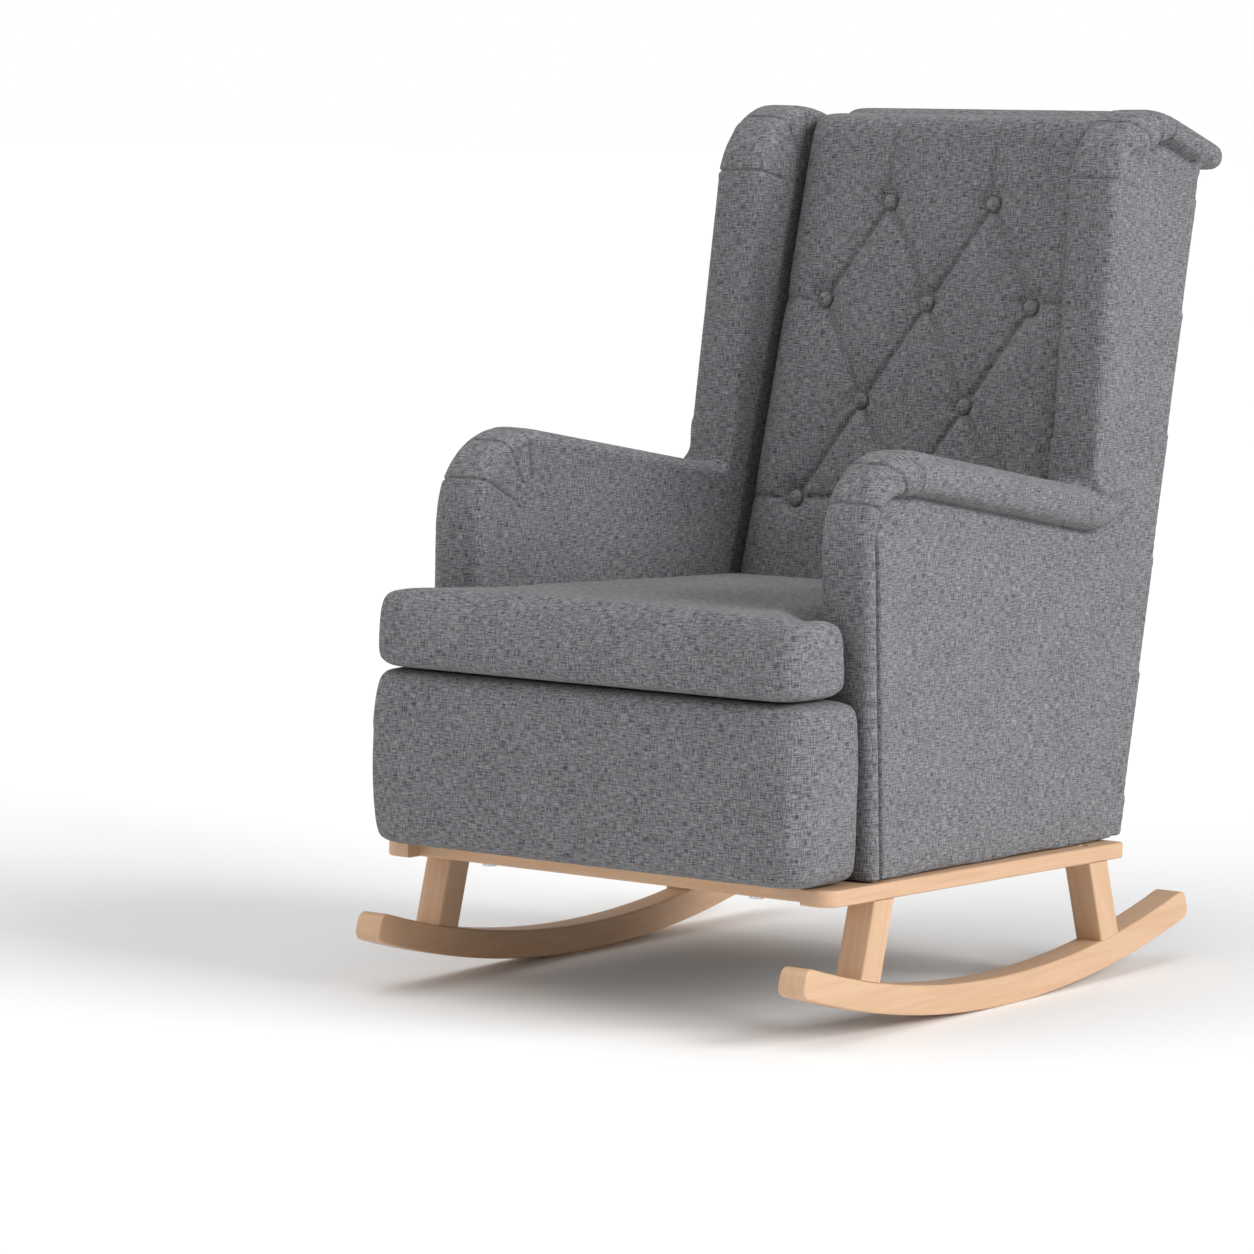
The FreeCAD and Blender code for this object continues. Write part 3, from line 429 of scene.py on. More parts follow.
def beech(name, turn, seed):
    """Pale lacquered beech with the grain along the piece; turn brings its length onto +Y."""
    wood = Finish(name)
    place = wood.node("ShaderNodeTexCoord", None, None, out=3)
    place = wood.node("ShaderNodeMapping", None, {
        "Vector": place, "Rotation": turn, "Location": (seed, 0, 0)})
    broad = wood.noise(wood.stretched(place, (38.0, 2.4, 38.0)), 1.0, 3.0, 0.55)
    fine = wood.noise(wood.stretched(place, (420.0, 9.0, 420.0)), 1.0, 3.0, 0.6)
    fleck = wood.noise(wood.stretched(place, (950.0, 110.0, 950.0)), 1.0, 1.0, 0.5)
    rings = wood.maths("SINE", broad * 34.0, 0.0) * 0.5 + 0.5
    tone = 0.5 + (rings - 0.5) * 0.16 + (fine - 0.5) * 0.40 + (broad - 0.5) * 0.5
    colour = wood.node("ShaderNodeValToRGB", {"stops": [
        (0.15, rgb(194, 154, 117)), (0.5, rgb(206, 168, 134)), (0.85, rgb(214, 181, 150))]}, {0: tone})
    pores = wood.band(fleck, 0.64, 0.74)
    colour = wood.mix(pores * 0.25, colour, rgb(176, 130, 92))
    return wood.surface({
        "Base Color": colour,
        "Roughness": 0.42 + (fine - 0.5) * 0.16,
        "Normal": wood.bump(fine - pores * 0.6, 0.00015, 0.5),
        "Coat Weight": 0.18,
        "Coat Roughness": 0.3,
    })


def plain_timber(name, low, high):
    wood = Finish(name)
    place = wood.node("ShaderNodeTexCoord", None, None, out=3)
    grain = wood.noise(wood.stretched(place, (4.0, 60.0, 60.0)), 1.0, 4.0, 0.6)
    colour = wood.node("ShaderNodeValToRGB", {"stops": [(0.3, low), (0.7, high)]}, {0: grain})
    return wood.surface({"Base Color": colour, "Roughness": 0.7 + (grain - 0.5) * 0.2,
                         "Normal": wood.bump(grain, 0.0004, 0.5)})


def plywood():
    wood = Finish("sanded_plywood")
    place = wood.node("ShaderNodeTexCoord", None, None, out=3)
    grain = wood.noise(wood.stretched(place, (60.0, 60.0, 5.0)), 1.0, 4.0, 0.6)
    layers = wood.node("ShaderNodeTexWave", {"bands_direction": "X"},
                       {"Vector": place, "Scale": 160.0, "Distortion": 0.0})
    colour = wood.node("ShaderNodeValToRGB", {"stops": [
        (0.3, rgb(198, 168, 122)), (0.7, rgb(224, 198, 154))]}, {0: grain * 0.7 + layers * 0.3})
    return wood.surface({"Base Color": colour, "Roughness": 0.75 + (grain - 0.5) * 0.2})


def foam():
    filling = Finish("open_cell_foam")
    place = filling.node("ShaderNodeTexCoord", None, None, out=3)
    cells = filling.node("ShaderNodeTexVoronoi", None, {"Vector": place, "Scale": 700.0})
    colour = filling.mix(cells, rgb(236, 228, 190), rgb(214, 202, 158))
    return filling.surface({"Base Color": colour, "Roughness": 0.95 - cells * 0.1,
                            "Normal": filling.bump(cells, 0.0008, 0.8)})


def zinc():
    metal = Finish("bright_zinc")
    place = metal.node("ShaderNodeTexCoord", None, None, out=3)
    cloud = metal.noise(place, 350.0, 2.0, 0.5)
    return metal.surface({"Base Color": metal.mix(cloud, rgb(196, 198, 202), rgb(222, 224, 226)),
                          "Metallic": 1.0, "Roughness": 0.3 + (cloud - 0.5) * 0.2})


TIMBER = plain_timber("sawn_frame_timber", rgb(188, 156, 108), rgb(220, 192, 146))
PLYWOOD = plywood()
FOAM = foam()
ZINC = zinc()
WEBBING = woven_cloth("elastic_webbing", rgb(46, 38, 30), rgb(122, 106, 84), "object", 0.0016)
DUST_CLOTH = woven_cloth("black_dust_cloth", rgb(14, 14, 15), rgb(46, 46, 48), "object", 0.0009)
TWINE = woven_cloth("waxed_twine", rgb(120, 112, 98), rgb(190, 182, 166), "object", 0.0006)
ACROSS = (0.0, 0.0, math.radians(90))
UPRIGHT = math.radians(90)
SPLAY = math.radians(16)
BEECH = {
    "rocker_left": beech("beech_rocker_left", (0, 0, 0), 0.31),
    "rocker_right": beech("beech_rocker_right", (0, 0, 0), 1.27),
    "side_rail_left": beech("beech_side_rail_left", (0, 0, 0), 2.13),
    "side_rail_right": beech("beech_side_rail_right", (0, 0, 0), 2.71),
    "cross_rail_front": beech("beech_cross_rail_front", ACROSS, 3.37),
    "cross_rail_rear": beech("beech_cross_rail_rear", ACROSS, 3.91),
    "leg_front_left": beech("beech_leg_front_left", (UPRIGHT + SPLAY, 0, 0), 4.43),
    "leg_front_right": beech("beech_leg_front_right", (UPRIGHT + SPLAY, 0, 0), 5.09),
    "leg_rear_left": beech("beech_leg_rear_left", (UPRIGHT - SPLAY, 0, 0), 5.57),
    "leg_rear_right": beech("beech_leg_rear_right", (UPRIGHT - SPLAY, 0, 0), 6.29),
    "rail_dowels": beech("beech_dowels", ACROSS, 7.03),
}
BY_SLOT = {
    "frame_timber": TIMBER, "plywood": PLYWOOD, "foam": FOAM, "zinc_plate": ZINC, "webbing": WEBBING,
    "dust_cloth": DUST_CLOTH, "twine": TWINE, "upholstery": UPHOLSTERY,
}
SLOT_OF = {part["node"]: part["material_slot"] for part in frame["record"]["subparts"]}
for name, node in frame["nodes"].items():
    finish = BEECH.get(name) or BY_SLOT[SLOT_OF[name]]
    if not node.material_slots:
        node.data.materials.append(finish)
    for slot in node.material_slots:
        slot.material = finish


# ---- the loose seat cushion -------------------------------------------------------------------
def seat_cushion():
    """T cushion, stuffed full: bull-nosed all round and flat where it lies on the deck."""
    made = remesh(as_piece("loose_seat_cushion", node_copy(["seat_cushion"])), COARSE)
    points = points_of(made)
    s, h = rail_place(points)
    low = step(0.018, 0.0, h - CUSHION_LOW)
    relax(made, 45, hold=low * 0.15)
    low = step(0.008, 0.0, rail_place(points_of(made))[1] - CUSHION_LOW)
    blow_up(made, 4.0, 0.022, hold=low * 0.97)
    points = points_of(made)
    s, h = rail_place(points)
    front = step(-0.20, -0.34, s)
    crown = 0.005 * np.cos(np.clip(points[:, 0] / 0.30, -1, 1) * math.pi / 2)
    roof = CUSHION_LOW + CUSHION_THICK - (s - CUSHION_FRONT) * math.tan(CUSHION_DROP) + crown
    h = np.clip(h, CUSHION_LOW, roof + 0.002 * (1 - front))
    s = np.maximum(s, CUSHION_FRONT - 0.001)
    c, n = math.cos(RAIL_SLOPE), math.sin(RAIL_SLOPE)
    y, z = s * c + h * n + CONTACT_Y, h * c - s * n + RAIL_HEIGHT
    wall = inner_face(y, z) - 0.0025
    behind = s > CUSHION_EARS + 0.012
    half = np.where(behind, wall, CUSHION_HALF + 0.001)
    x = np.clip(points[:, 0], -half, half)
    points = np.stack([x, y, z], axis=1)
    w, _ = back_place(points)
    over = np.maximum(0, w - (PAD_FACE - 0.0015))
    points[:, 1] -= over * math.cos(BACK_LEAN)
    points[:, 2] += over * math.sin(BACK_LEAN)
    put_points(made, points)
    relax(made, 9)
    finer(made)
    finish_soft(made, ["seat_cushion"], "loose_cushion", (0.13, 0.41))
    return made


# ---- the padded front of the seat box ---------------------------------------------------------
def seat_apron():
    made = remesh(as_piece("seat_front_cover", node_copy(["seat_apron"])), FINE)
    points = points_of(made)
    s, h = rail_place(points)
    inside = (np.abs(points[:, 0]) < 0.232) & (s > -0.372)
    relax(made, 60, hold=inside * 0.9)
    points = points_of(made)
    normals = normals_of(made)
    s, h = rail_place(points)
    rise = np.clip((h - RAIL_THICK) / (APRON_TOP - RAIL_THICK), 0, 1)
    belly = np.sin(math.pi * rise) ** 0.7
    outward = np.maximum(0, -normals[:, 1]) + np.maximum(0, np.abs(normals[:, 0]) - 0.3)
    side_limit = np.where(np.abs(points[:, 0]) > 0.29, 0.6, 1.0)
    outside = ~inside
    points += normals * (0.010 * belly * outward * side_limit * outside)[:, None]
    put_points(made, points)
    relax(made, 3)
    finish_soft(made, ["seat_apron"], "chair", (0.07, 0.83))
    return made


def seat_platform():
    """The covered deck under the loose cushion."""
    made = remesh(as_piece("seat_platform_pad", node_copy(["seat_deck"])), COARSE)
    relax(made, 6)
    finish_soft(made, ["seat_deck"], "chair", (0.5, 0.2))
    return made


# ---- the sides --------------------------------------------------------------------------------
NOSE_CENTRE = (ARM_FRONT + NOSE_RADIUS + CONTACT_Y, ARM_TOP - NOSE_RADIUS)
WING_TILT = math.atan((WING_SHOULDER[0] - WING_FOOT[0]) / (WING_SHOULDER[1] - WING_FOOT[1]))
WING_ARC = (WING_TOP - WING_ROLL / 2 - WING_SHOULDER[1]) / (1 - math.sin(WING_TILT))
WING_CENTRE = (
    WING_SHOULDER[0] + WING_ROLL / 2 / math.cos(WING_TILT) + WING_ARC * math.cos(WING_TILT) + CONTACT_Y,
    WING_SHOULDER[1] - WING_ARC * math.sin(WING_TILT),
)
SEAMS = [      # centre of the roll's bend, angle up from the rear, reach of the roll from the centre
    (NOSE_CENTRE, 152.0, 0.030, 0.115),
    (NOSE_CENTRE, 118.0, 0.035, 0.115),
    (NOSE_CENTRE, 97.0, 0.035, 0.115),
    (WING_CENTRE, 166.0, 0.045, 0.125),
    (WING_CENTRE, 122.0, 0.048, 0.125),
    (WING_CENTRE, 100.0, 0.048, 0.125),
    (WING_CENTRE, 79.0, 0.048, 0.125),
]


PANEL = HALF_WIDTH - 0.009 - SIDE_INNER     # outside panel, from the inside of the arm
SEAM_WIDTH = 0.0019
SEAM_DEPTH = 0.0026
CREASE_WIDTH = 0.0040
CREASE_DEPTH = 0.006
WING_CREASE_WIDTH = 0.0035
WING_CREASE_DEPTH = 0.0045
WING_ROLL_EDGE = 0.046    # depth of the wing roll's crease under its top line
PANEL_EDGE = 0.0065       # swell of the panel behind the arm's front seam
WING_SWELL = 0.0075       # swell of the wing's front edge
HORN_SLIM = 0.26          # share of its thickness that the horn loses
REAR_FACE = 0.0178        # rear edge of the sides, out of the back's rear line
WING_HOLLOW = 0.009       # inside of the wing, drawn in towards the back
ARM_WING_JOIN = (0.56, 0.62)      # heights where the arm ends and the wing begins


def across_seams(points, reach_only=False):
    """How near each point is to a seam across a roll, from 0 to 1."""
    best = np.zeros(len(points))
    for (cy, cz), angle, low, high in SEAMS:
        y, z = points[:, 1] - cy, points[:, 2] - cz
        c, n = math.cos(math.radians(angle)), math.sin(math.radians(angle))
        off, out = z * c - y * n, y * c + z * n
        reach = step(low, low + 0.012, out) * (1 - step(high - 0.004, high, out))
        near = np.abs(off) < 0.008 if reach_only else np.exp(-(off / SEAM_WIDTH) ** 2)
        best = np.maximum(best, reach * near)
    return best


def roll_place(points, centre, radius, slope):
    """Where points lie on a roll: depth under its top line, and distance along from its bend's start."""
    y, z = points[:, 1] - centre[0], points[:, 2] - centre[1]
    forward = y * math.cos(slope) - z * math.sin(slope)
    lift = y * math.sin(slope) + z * math.cos(slope)
    turned = np.pi - np.arctan2(z, y)
    in_bend = (forward < 0) & (z > 0)
    below = (forward < 0) & (z <= 0)
    bend = math.pi / 2 + slope
    depth = np.where(in_bend, radius - np.hypot(y, z), np.where(below, y + radius, radius - lift))
    along = np.where(in_bend, radius * turned, np.where(below, z, radius * bend + forward))
    return depth, along


def outside_line(points):
    """How far the outside of a side stands from its inside, and how near a crease each point is."""
    y, z = points[:, 1], points[:, 2]
    behind = y - wing_front(z)
    depth, along = roll_place(points, NOSE_CENTRE, NOSE_RADIUS, ARM_SLOPE)
    edge = 0.018 + 0.032 * step(0.02, 0.150, along) - 0.034 * step(0.520, 0.620, along)
    proud = (0.010 + 0.013 * step(0.08, 0.150, along)) * (1 - step(0.540, 0.640, along))
    tube = np.sqrt(np.clip(1 - ((depth - 0.45 * edge) / (0.55 * edge)) ** 2, 0, 1))
    upper = np.exp(-((depth - 0.45 * edge) / 0.045) ** 2)
    tube = np.where((depth < 0.45 * edge) & (behind > -0.004), upper, tube)
    crease = np.exp(-((depth - edge) / CREASE_WIDTH) ** 2) * (1 - step(0.600, 0.640, along))
    panel_edge = step(0.0, 0.007, depth - edge) * np.exp(-(np.maximum(depth - edge, 0) / 0.060) ** 2)
    panel_edge = PANEL_EDGE * panel_edge * (1 - step(-0.02, 0.08, along))
    arm = PANEL + panel_edge + proud * tube - CREASE_DEPTH * crease
    top_depth, top_along = roll_place(points, WING_CENTRE, WING_ARC + WING_ROLL / 2, HORN_SLOPE)
    begun = step(0.055, 0.100, top_along)
    top_edge = WING_ROLL_EDGE
    top_tube = np.sqrt(np.clip(1 - ((top_depth - 0.45 * top_edge) / (0.55 * top_edge)) ** 2, 0, 1))
    top_crease = np.exp(-((top_depth - top_edge) / WING_CREASE_WIDTH) ** 2) * begun
    front = WING_SWELL * (1 - step(0.0, 0.15, behind)) * step(0.575, 0.61, z) * (1 - begun)
    wing = PANEL + np.maximum(front, 0.018 * top_tube * begun) - WING_CREASE_DEPTH * top_crease
    on_wing = step(-0.004, 0.006, behind) * step(0.560, 0.600, z)
    line = arm + (wing - arm) * np.where(z > ARM_WING_JOIN[1], 1.0, on_wing)
    near = np.maximum(crease * (1 - on_wing), top_crease * (z > 0.8))
    return line, near


def split_cells(made, chosen):
    """Halve the cells whose corners are all chosen, so that a crease can be pressed in."""
    work = bmesh.new()
    work.from_mesh(made.data)
    work.verts.ensure_lookup_table()
    edges = [e for e in work.edges if chosen[e.verts[0].index] and chosen[e.verts[1].index]]
    bmesh.ops.subdivide_edges(work, edges=edges, cuts=1, use_grid_fill=True)
    work.to_mesh(made.data)
    work.free()


def side_cover(side):
    """Arm and wing of one side under one cover: inside, front, rolls and outside panel."""
    way = 1 if side == "left" else -1
    covered = ["arm_inner_pad_", "wing_inner_pad_", "arm_outer_pad_", "wing_outer_pad_",
               "arm_facing_", "arm_roll_", "wing_facing_", "wing_roll_"]
    covered = [name + side for name in covered]
    corners = []
    for v, top_in in ((0.006, 0.0), (0.838, 0.038)):
        for x, w in ((0.2725, -0.006), (0.2965, -0.006), (0.2975, 0.0190), (0.2725, 0.0150)):
            corners.append(on_back(way * (x - top_in * 0.62), w, v))
    if way < 0:
        corners = [corners[i] for i in (3, 2, 1, 0, 7, 6, 5, 4)]
    made = node_copy(covered + ["side_board_" + side], [corners])
    made = remesh(as_piece("arm_and_wing_cover_" + side, made), FINE)
    relax(made, 5)
    for _ in range(2):
        points, normals = points_of(made), normals_of(made)
        line, near = outside_line(points)
        outward = way * normals[:, 0] > 0.1
        split_cells(made, ((near > 0.05) & outward) | (across_seams(points, True) > 0.2))
    points, normals = points_of(made), normals_of(made)
    y, z = points[:, 1], points[:, 2]
    behind = y - wing_front(z)
    stand = way * points[:, 0] - inner_face(y, z)
    line, _ = outside_line(points)
    depth, _ = roll_place(points, NOSE_CENTRE, NOSE_RADIUS, ARM_SLOPE)
    top_depth, top_along = roll_place(points, WING_CENTRE, WING_ARC + WING_ROLL / 2, HORN_SLOPE)
    depth = np.where(z > ARM_WING_JOIN[1], np.minimum(top_depth, np.maximum(behind, 0)), depth)
    at_join = (z > ARM_WING_JOIN[0]) & (z <= ARM_WING_JOIN[1]) & (behind > 0)
    depth = np.where(at_join, 0.05, depth)
    w, v = back_place(points)
    outer = step(0.25, 0.75, way * normals[:, 0]) * step(0.040, 0.052, stand)
    outer = outer * step(0.004, 0.016, depth) * step(0.010, -0.004, w)
    stand = stand + (line - stand) * outer
    inward = step(0.3, 0.7, -way * normals[:, 0]) * step(0.010, 0.018, depth)
    stand = np.where(stand < 0.016, stand * (1 - inward), stand)
    soft = inward * step(0.02, 0.09, behind) * step(PAD_FACE + 0.03, PAD_FACE - 0.05, w)
    stand = stand - WING_HOLLOW * soft * step(0.58, 0.68, z) * (1 - step(0.86, 0.95, z))
    points[:, 0] = way * (inner_face(y, z) + stand)
    horn = step(0.125, 0.190, top_along) * step(0.052, 0.046, top_depth) * (z > 0.85)
    thin = 1 - HORN_SLIM * horn
    shift = (WING_ROLL / 2 - top_depth) * (thin - 1)
    points[:, 1] += shift * math.sin(HORN_SLOPE)
    points[:, 2] += shift * math.cos(HORN_SLOPE)
    put_points(made, points)
    w, v = back_place(points)
    facing = normals[:, 1] * math.cos(BACK_LEAN) - normals[:, 2] * math.sin(BACK_LEAN)
    flat = step(0.25, 0.60, facing) * step(0.009, 0.013, w) * step(0.026, 0.022, w) * (z < 0.93)
    push = (REAR_FACE - w) * flat
    points[:, 1] += push * math.cos(BACK_LEAN)
    points[:, 2] -= push * math.sin(BACK_LEAN)
    put_points(made, points)
    relax(made, 2, rate=0.4)
    points, normals = points_of(made), normals_of(made)
    put_points(made, points - normals * (SEAM_DEPTH * across_seams(points))[:, None])
    finish_soft(made, covered, "chair", (0.0 if way > 0 else 0.37, 0.11))
    return made


# ---- the back ---------------------------------------------------------------------------------
def button_places():
    places = []
    for row, columns in enumerate(((-1, 1), (-2, 0, 2), (-1, 1), (-2, 0, 2))):
        for column in columns:
            places.append((column * BUTTON_COLUMN, BUTTON_TOP - row * BUTTON_ROW))
    return places


def pleats():
    """Ends of every pleat, and how deep it is at its first and last end."""
    lines, places = [], button_places()
    for x, v in places:
        for other_x, other_v in places:
            below = abs(v - BUTTON_ROW - other_v) < 1e-6
            if below and abs(abs(x - other_x) - BUTTON_COLUMN) < 1e-6:
                lines.append(((x, v), (other_x, other_v), PLEAT_DEPTH, PLEAT_DEPTH))
    low = BUTTON_TOP - 3 * BUTTON_ROW
    for x in (-BUTTON_COLUMN, BUTTON_COLUMN):
        lines.append(((x, BUTTON_TOP), (x * 0.97, BUTTON_TOP + 0.122), CREST_PLEAT, 0.0050))
    for way in (-1, 1):
        for row in (1, 3):
            v = BUTTON_TOP - row * BUTTON_ROW
            lines.append(((way * 2 * BUTTON_COLUMN, v), (way * 0.225, v + 0.002), SIDE_PLEAT, 0.0065))
        lines.append(((way * 2 * BUTTON_COLUMN, low), (0.0, low), SIDE_PLEAT, SIDE_PLEAT))
    return lines


def tufting(x, v):
    """How far the buttoned face is drawn in below its fullest, at x across and v up."""
    sunk = np.zeros_like(x)
    for (x0, v0), (x1, v1), deep0, deep1 in pleats():
        length = math.hypot(x1 - x0, v1 - v0)
        along = ((x - x0) * (x1 - x0) + (v - v0) * (v1 - v0)) / length
        off = ((x - x0) * (v1 - v0) - (v - v0) * (x1 - x0)) / length
        t = np.clip(along / length, 0, 1)
        beyond = np.maximum(0, np.maximum(-along, along - length))
        deep = deep0 + (deep1 - deep0) * t
        slack = 0.62 + 0.38 * np.abs(2 * t - 1) if deep1 > 0 else (1 - t)
        bow = off + 0.0030 * np.sin(math.pi * t)
        far = np.sqrt(bow ** 2 + beyond ** 2)
        line = 0.45 * np.exp(-(far / 0.0034) ** 2) + 0.55 * np.exp(-(far / 0.017) ** 1.4)
        sunk = np.maximum(sunk, deep * slack * line)
    for bx, bv in button_places():
        far = np.hypot(x - bx, v - bv)
        sunk = np.maximum(sunk, 1.15 * DIMPLE_DEPTH * np.exp(-(far / DIMPLE_REACH) ** 1.8))
    return sunk


def buttoned_back():
    """Inside back and top border in one cover, drawn in by the buttons."""
    made = node_copy(["back_cushion", "back_top_roll"], [
        [on_back(x, w, v) for v, x0 in ((0.70, 0.203), (BACK_LENGTH - 0.020, 0.200))
         for x, w in ((-x0, PAD_FACE + 0.025), (x0, PAD_FACE + 0.025), (x0, 0.010), (-x0, 0.010))]])
    made = remesh(as_piece("buttoned_back_cover", made), FINE)
    points = points_of(made)
    w, v = back_place(points)
    edge = step(0.215, 0.195, np.abs(points[:, 0])) * step(BACK_LENGTH - 0.030, BACK_LENGTH - 0.050, v)
    front = step(-0.075, -0.088, w) * edge
    push = (PAD_FACE - w) * front
    points[:, 1] += push * math.cos(BACK_LEAN)
    points[:, 2] -= push * math.sin(BACK_LEAN)
    put_points(made, points)
    relax(made, 16)
    points = points_of(made)
    w, v = back_place(points)
    top = step(BACK_LENGTH - 0.090, BACK_LENGTH, v)
    relax(made, 30, hold=1 - top)
    finer(made)
    points, normals = points_of(made), normals_of(made)
    w, v = back_place(points)
    facing = -(normals[:, 1] * math.cos(BACK_LEAN) - normals[:, 2] * math.sin(BACK_LEAN))
    face = step(0.25, 0.8, facing) * step(-0.060, -0.080, w)
    full = FULLNESS * step(0.20, 0.26, v) * step(0.222, 0.180, np.abs(points[:, 0]))
    push = (tufting(points[:, 0], v) - full) * face
    points[:, 1] += push * math.cos(BACK_LEAN)
    points[:, 2] -= push * math.sin(BACK_LEAN)
    put_points(made, points)
    finish_soft(made, ["back_cushion", "back_top_roll"], "chair", (0.29, 0.05))
    return made


def outer_back():
    made = remesh(as_piece("outer_back_cover", node_copy(["outer_back"])), FINE)
    relax(made, 8)
    finish_soft(made, ["outer_back"], "chair", (0.61, 0.17))
    return made


# ---- repeated pieces, by geometry nodes -------------------------------------------------------
class Maker:
    """A geometry node tree being put together, and what it makes of a mesh."""

    def __init__(self, name):
        self.tree = bpy.data.node_groups.new(name, "GeometryNodeTree")
        face = self.tree.interface
        face.new_socket("Geometry", in_out="INPUT", socket_type="NodeSocketGeometry")
        face.new_socket("Geometry", in_out="OUTPUT", socket_type="NodeSocketGeometry")
        self.start = self.tree.nodes.new("NodeGroupInput")
        self.values = {}

    def size(self, name, value):
        """A named size, which the modifier sets."""
        made = self.tree.interface.new_socket(name, in_out="INPUT", socket_type="NodeSocketFloat")
        self.values[made.identifier] = value
        return self.start.outputs[name]

    def node(self, kind, inputs=None, settings=None, out=0):
        made = self.tree.nodes.new(kind)
        for key, value in (settings or {}).items():
            setattr(made, key, value)
        for key, value in (inputs or {}).items():
            if isinstance(value, bpy.types.NodeSocket):
                self.tree.links.new(value, made.inputs[key])
            else:
                made.inputs[key].default_value = value
        return made.outputs[out]

    def make(self, name, verts, edges, shape, finish):
        real = self.node("GeometryNodeRealizeInstances", {"Geometry": shape})
        done = self.node("GeometryNodeSetMaterial", {"Geometry": real, "Material": finish})
        end = self.tree.nodes.new("NodeGroupOutput")
        self.tree.links.new(done, end.inputs[0])
        mesh = bpy.data.meshes.new(name)
        mesh.from_pydata([tuple(v) for v in verts], edges, [])
        made = bpy.data.objects.new(name, mesh)
        bpy.context.scene.collection.objects.link(made)
        change = made.modifiers.new("maker", "NODES")
        change.node_group = self.tree
        for key, value in self.values.items():
            change[key] = value
        settle(made)
        made.data.shade_smooth()
        return made


def covered_buttons():
    """Round buttons in the same cloth, set into the drawn-in points of the back."""
    maker = Maker("covered_button")
    radius = maker.size("Radius", BUTTON_RADIUS)
    dome = maker.node("GeometryNodeMeshUVSphere", {"Segments": 32, "Rings": 16, "Radius": radius})
    flat = maker.node("GeometryNodeTransform", {
        "Geometry": dome, "Rotation": (math.radians(90) - BACK_LEAN, 0.0, 0.0), "Scale": (1.0, 1.0, 0.62)})
    points = maker.node("GeometryNodeMeshToPoints", {"Mesh": maker.start.outputs[0]})
    set_in = maker.node("GeometryNodeInstanceOnPoints", {"Points": points, "Instance": flat})
    places = [on_back(x, PAD_FACE + DIMPLE_DEPTH - 0.0105, v) for x, v in button_places()]
    made = maker.make("covered_tufting_buttons", places, [], set_in, UPHOLSTERY)
    finish_soft(made, ["tufting_buttons"], "chair", (0.2, 0.3))
    return made


# ---- the underside ----------------------------------------------------------------------------
def dust_cover():
    """The thin cloth under the seat, a little slack between its staples; gives its grid of points."""
    low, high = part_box("dust_cover")
    across, deep = 60, 50
    verts, faces = [], []
    for j in range(deep + 1):
        for i in range(across + 1):
            a, b = i / across, j / deep
            y = low[1] + (high[1] - low[1]) * b
            x = low[0] + (high[0] - low[0]) * a
            top = high[2] + (low[2] + 0.0012 - high[2]) * b
            belly = math.sin(math.pi * a) * math.sin(math.pi * b)
            pull = 0.0006 * math.sin(a * 40) * math.sin(b * 33)
            verts.append((x, y, top - 0.0010 - 0.006 * belly + pull * belly))
    for j in range(deep):
        for i in range(across):
            k = j * (across + 1) + i
            faces.append((k, k + 1, k + across + 2, k + across + 1))
    made = piece("seat_dust_cover", verts, faces)
    thick = made.modifiers.new("cloth", "SOLIDIFY")
    thick.thickness, thick.offset = 0.0008, 0
    settle(made)
    made.data.shade_smooth()
    made.data.materials.append(DUST_CLOTH)
    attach(made, "chair")
    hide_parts("dust_cover")
    return verts


def staples(edge_verts, across=60, deep=50):
    """Staples round the dust cover's edge."""
    maker = Maker("staple")
    length = maker.size("Crown", 0.010)
    crown = maker.node("GeometryNodeMeshCylinder", {
        "Vertices": 8, "Radius": 0.00045, "Depth": length})
    rim = []
    for j in range(deep + 1):
        for i in range(across + 1):
            on_x, on_y = i in (0, across), j in (0, deep)
            if (on_x and j % 3 == 1) or (on_y and i % 3 == 1):
                x, y, z = edge_verts[j * (across + 1) + i]
                inset_x = 0.006 * (1 if i == 0 else -1) if on_x else 0.0
                inset_y = 0.006 * (1 if j == 0 else -1) if on_y else 0.0
                rim.append((x + inset_x, y + inset_y, z - 0.0009))
    flat = maker.node("GeometryNodeTransform", {"Geometry": crown, "Rotation": (0.0, math.radians(90), 0.6)})
    points = maker.node("GeometryNodeMeshToPoints", {"Mesh": maker.start.outputs[0]})
    placed = maker.node("GeometryNodeInstanceOnPoints", {"Points": points, "Instance": flat})
    made = maker.make("dust_cover_staples", rim, [], placed, ZINC)
    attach(made, "chair")
    return made


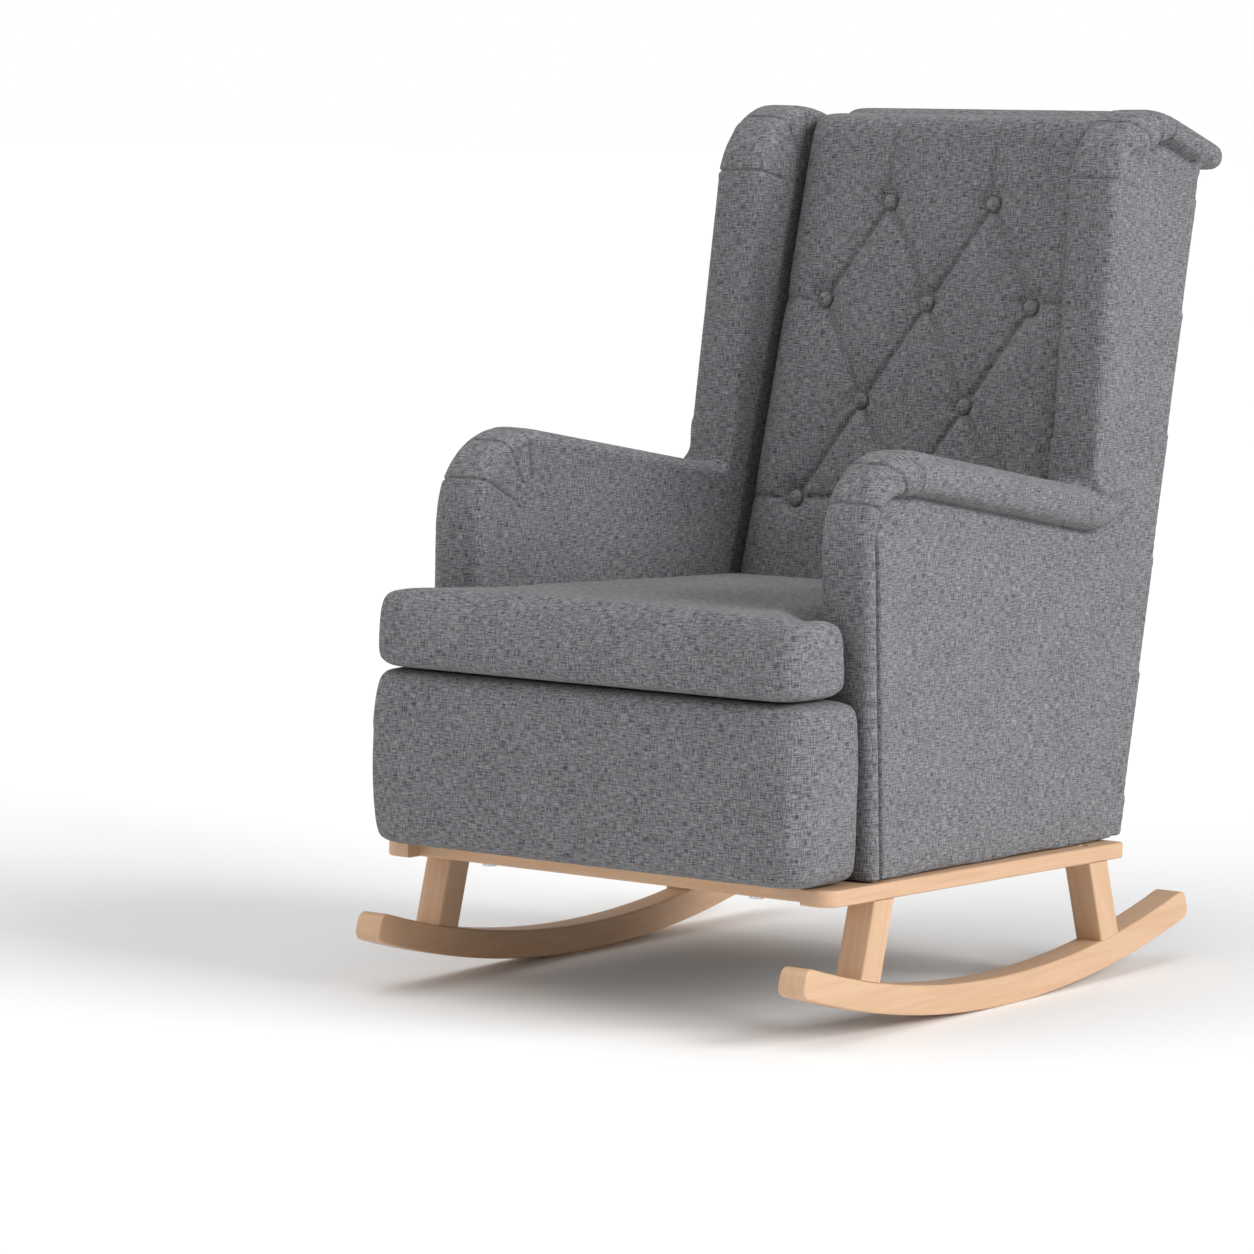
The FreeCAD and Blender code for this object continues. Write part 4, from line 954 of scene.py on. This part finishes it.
# ---- the studio -------------------------------------------------------------------------------
AMBIENT = 0.26
SUNS = (       # towards the light, its spread in degrees, its strength
    ("side_light", (0.86, 0.16, 0.44), 35, 2.60),
    ("top_light", (-0.10, -0.20, 0.95), 70, 1.15),
    ("front_light", (-0.35, -0.72, 0.60), 80, 0.70),
)
CAMERA_PLACE = (3.767, -5.1197 + CONTACT_Y, 1.1109)
CAMERA_DOWN, CAMERA_TURN = 6.3445, 37.9969      # degrees
FOCAL_LENGTH, SENSOR = 159.54, 36.0             # millimetres
FLOOR_HALF = 30


def studio():
    scene = bpy.context.scene
    scene.view_settings.view_transform = "Standard"
    world = bpy.data.worlds.new("studio")
    world.use_nodes = True
    nodes = world.node_tree.nodes
    nodes["Background"].inputs[1].default_value = AMBIENT
    shown = nodes.new("ShaderNodeBackground")
    choose = nodes.new("ShaderNodeMixShader")
    seen = nodes.new("ShaderNodeLightPath")
    for ground in (nodes["Background"], shown):
        ground.inputs[0].default_value = (1.0, 1.0, 1.0, 1.0)
    join = world.node_tree.links.new
    join(seen.outputs["Is Camera Ray"], choose.inputs[0])
    join(nodes["Background"].outputs[0], choose.inputs[1])
    join(shown.outputs[0], choose.inputs[2])
    join(choose.outputs[0], nodes["World Output"].inputs[0])
    scene.world = world
    a = FLOOR_HALF
    floor = piece("studio_floor", [(-a, -a, 0), (a, -a, 0), (a, a, 0), (-a, a, 0)], [(0, 1, 2, 3)])
    paper = Finish("pale_floor")
    place = paper.node("ShaderNodeTexCoord", None, None, out=3)
    mottle = paper.noise(place, 2.0)
    floor.data.materials.append(paper.surface({
        "Base Color": paper.mix(mottle, grey(0.93), grey(0.95)), "Roughness": 0.9}))
    for name, towards, spread, strength in SUNS:
        lamp = bpy.data.lights.new(name, "SUN")
        lamp.angle, lamp.energy = math.radians(spread), strength
        holder = bpy.data.objects.new(name, lamp)
        holder.rotation_euler = Vector(towards).to_track_quat("Z", "Y").to_euler()
        scene.collection.objects.link(holder)
    lens = bpy.data.cameras.new("camera")
    lens.lens, lens.sensor_width = FOCAL_LENGTH, SENSOR
    lens.clip_end = 100.0
    camera = bpy.data.objects.new("camera", lens)
    camera.location = CAMERA_PLACE
    camera.rotation_euler = (math.radians(90 - CAMERA_DOWN), 0.0, math.radians(CAMERA_TURN))
    scene.collection.objects.link(camera)
    scene.camera = camera


studio()
seat_cushion()
seat_apron()
seat_platform()
for side in ("left", "right"):
    side_cover(side)
buttoned_back()
outer_back()
covered_buttons()
staples(dust_cover())
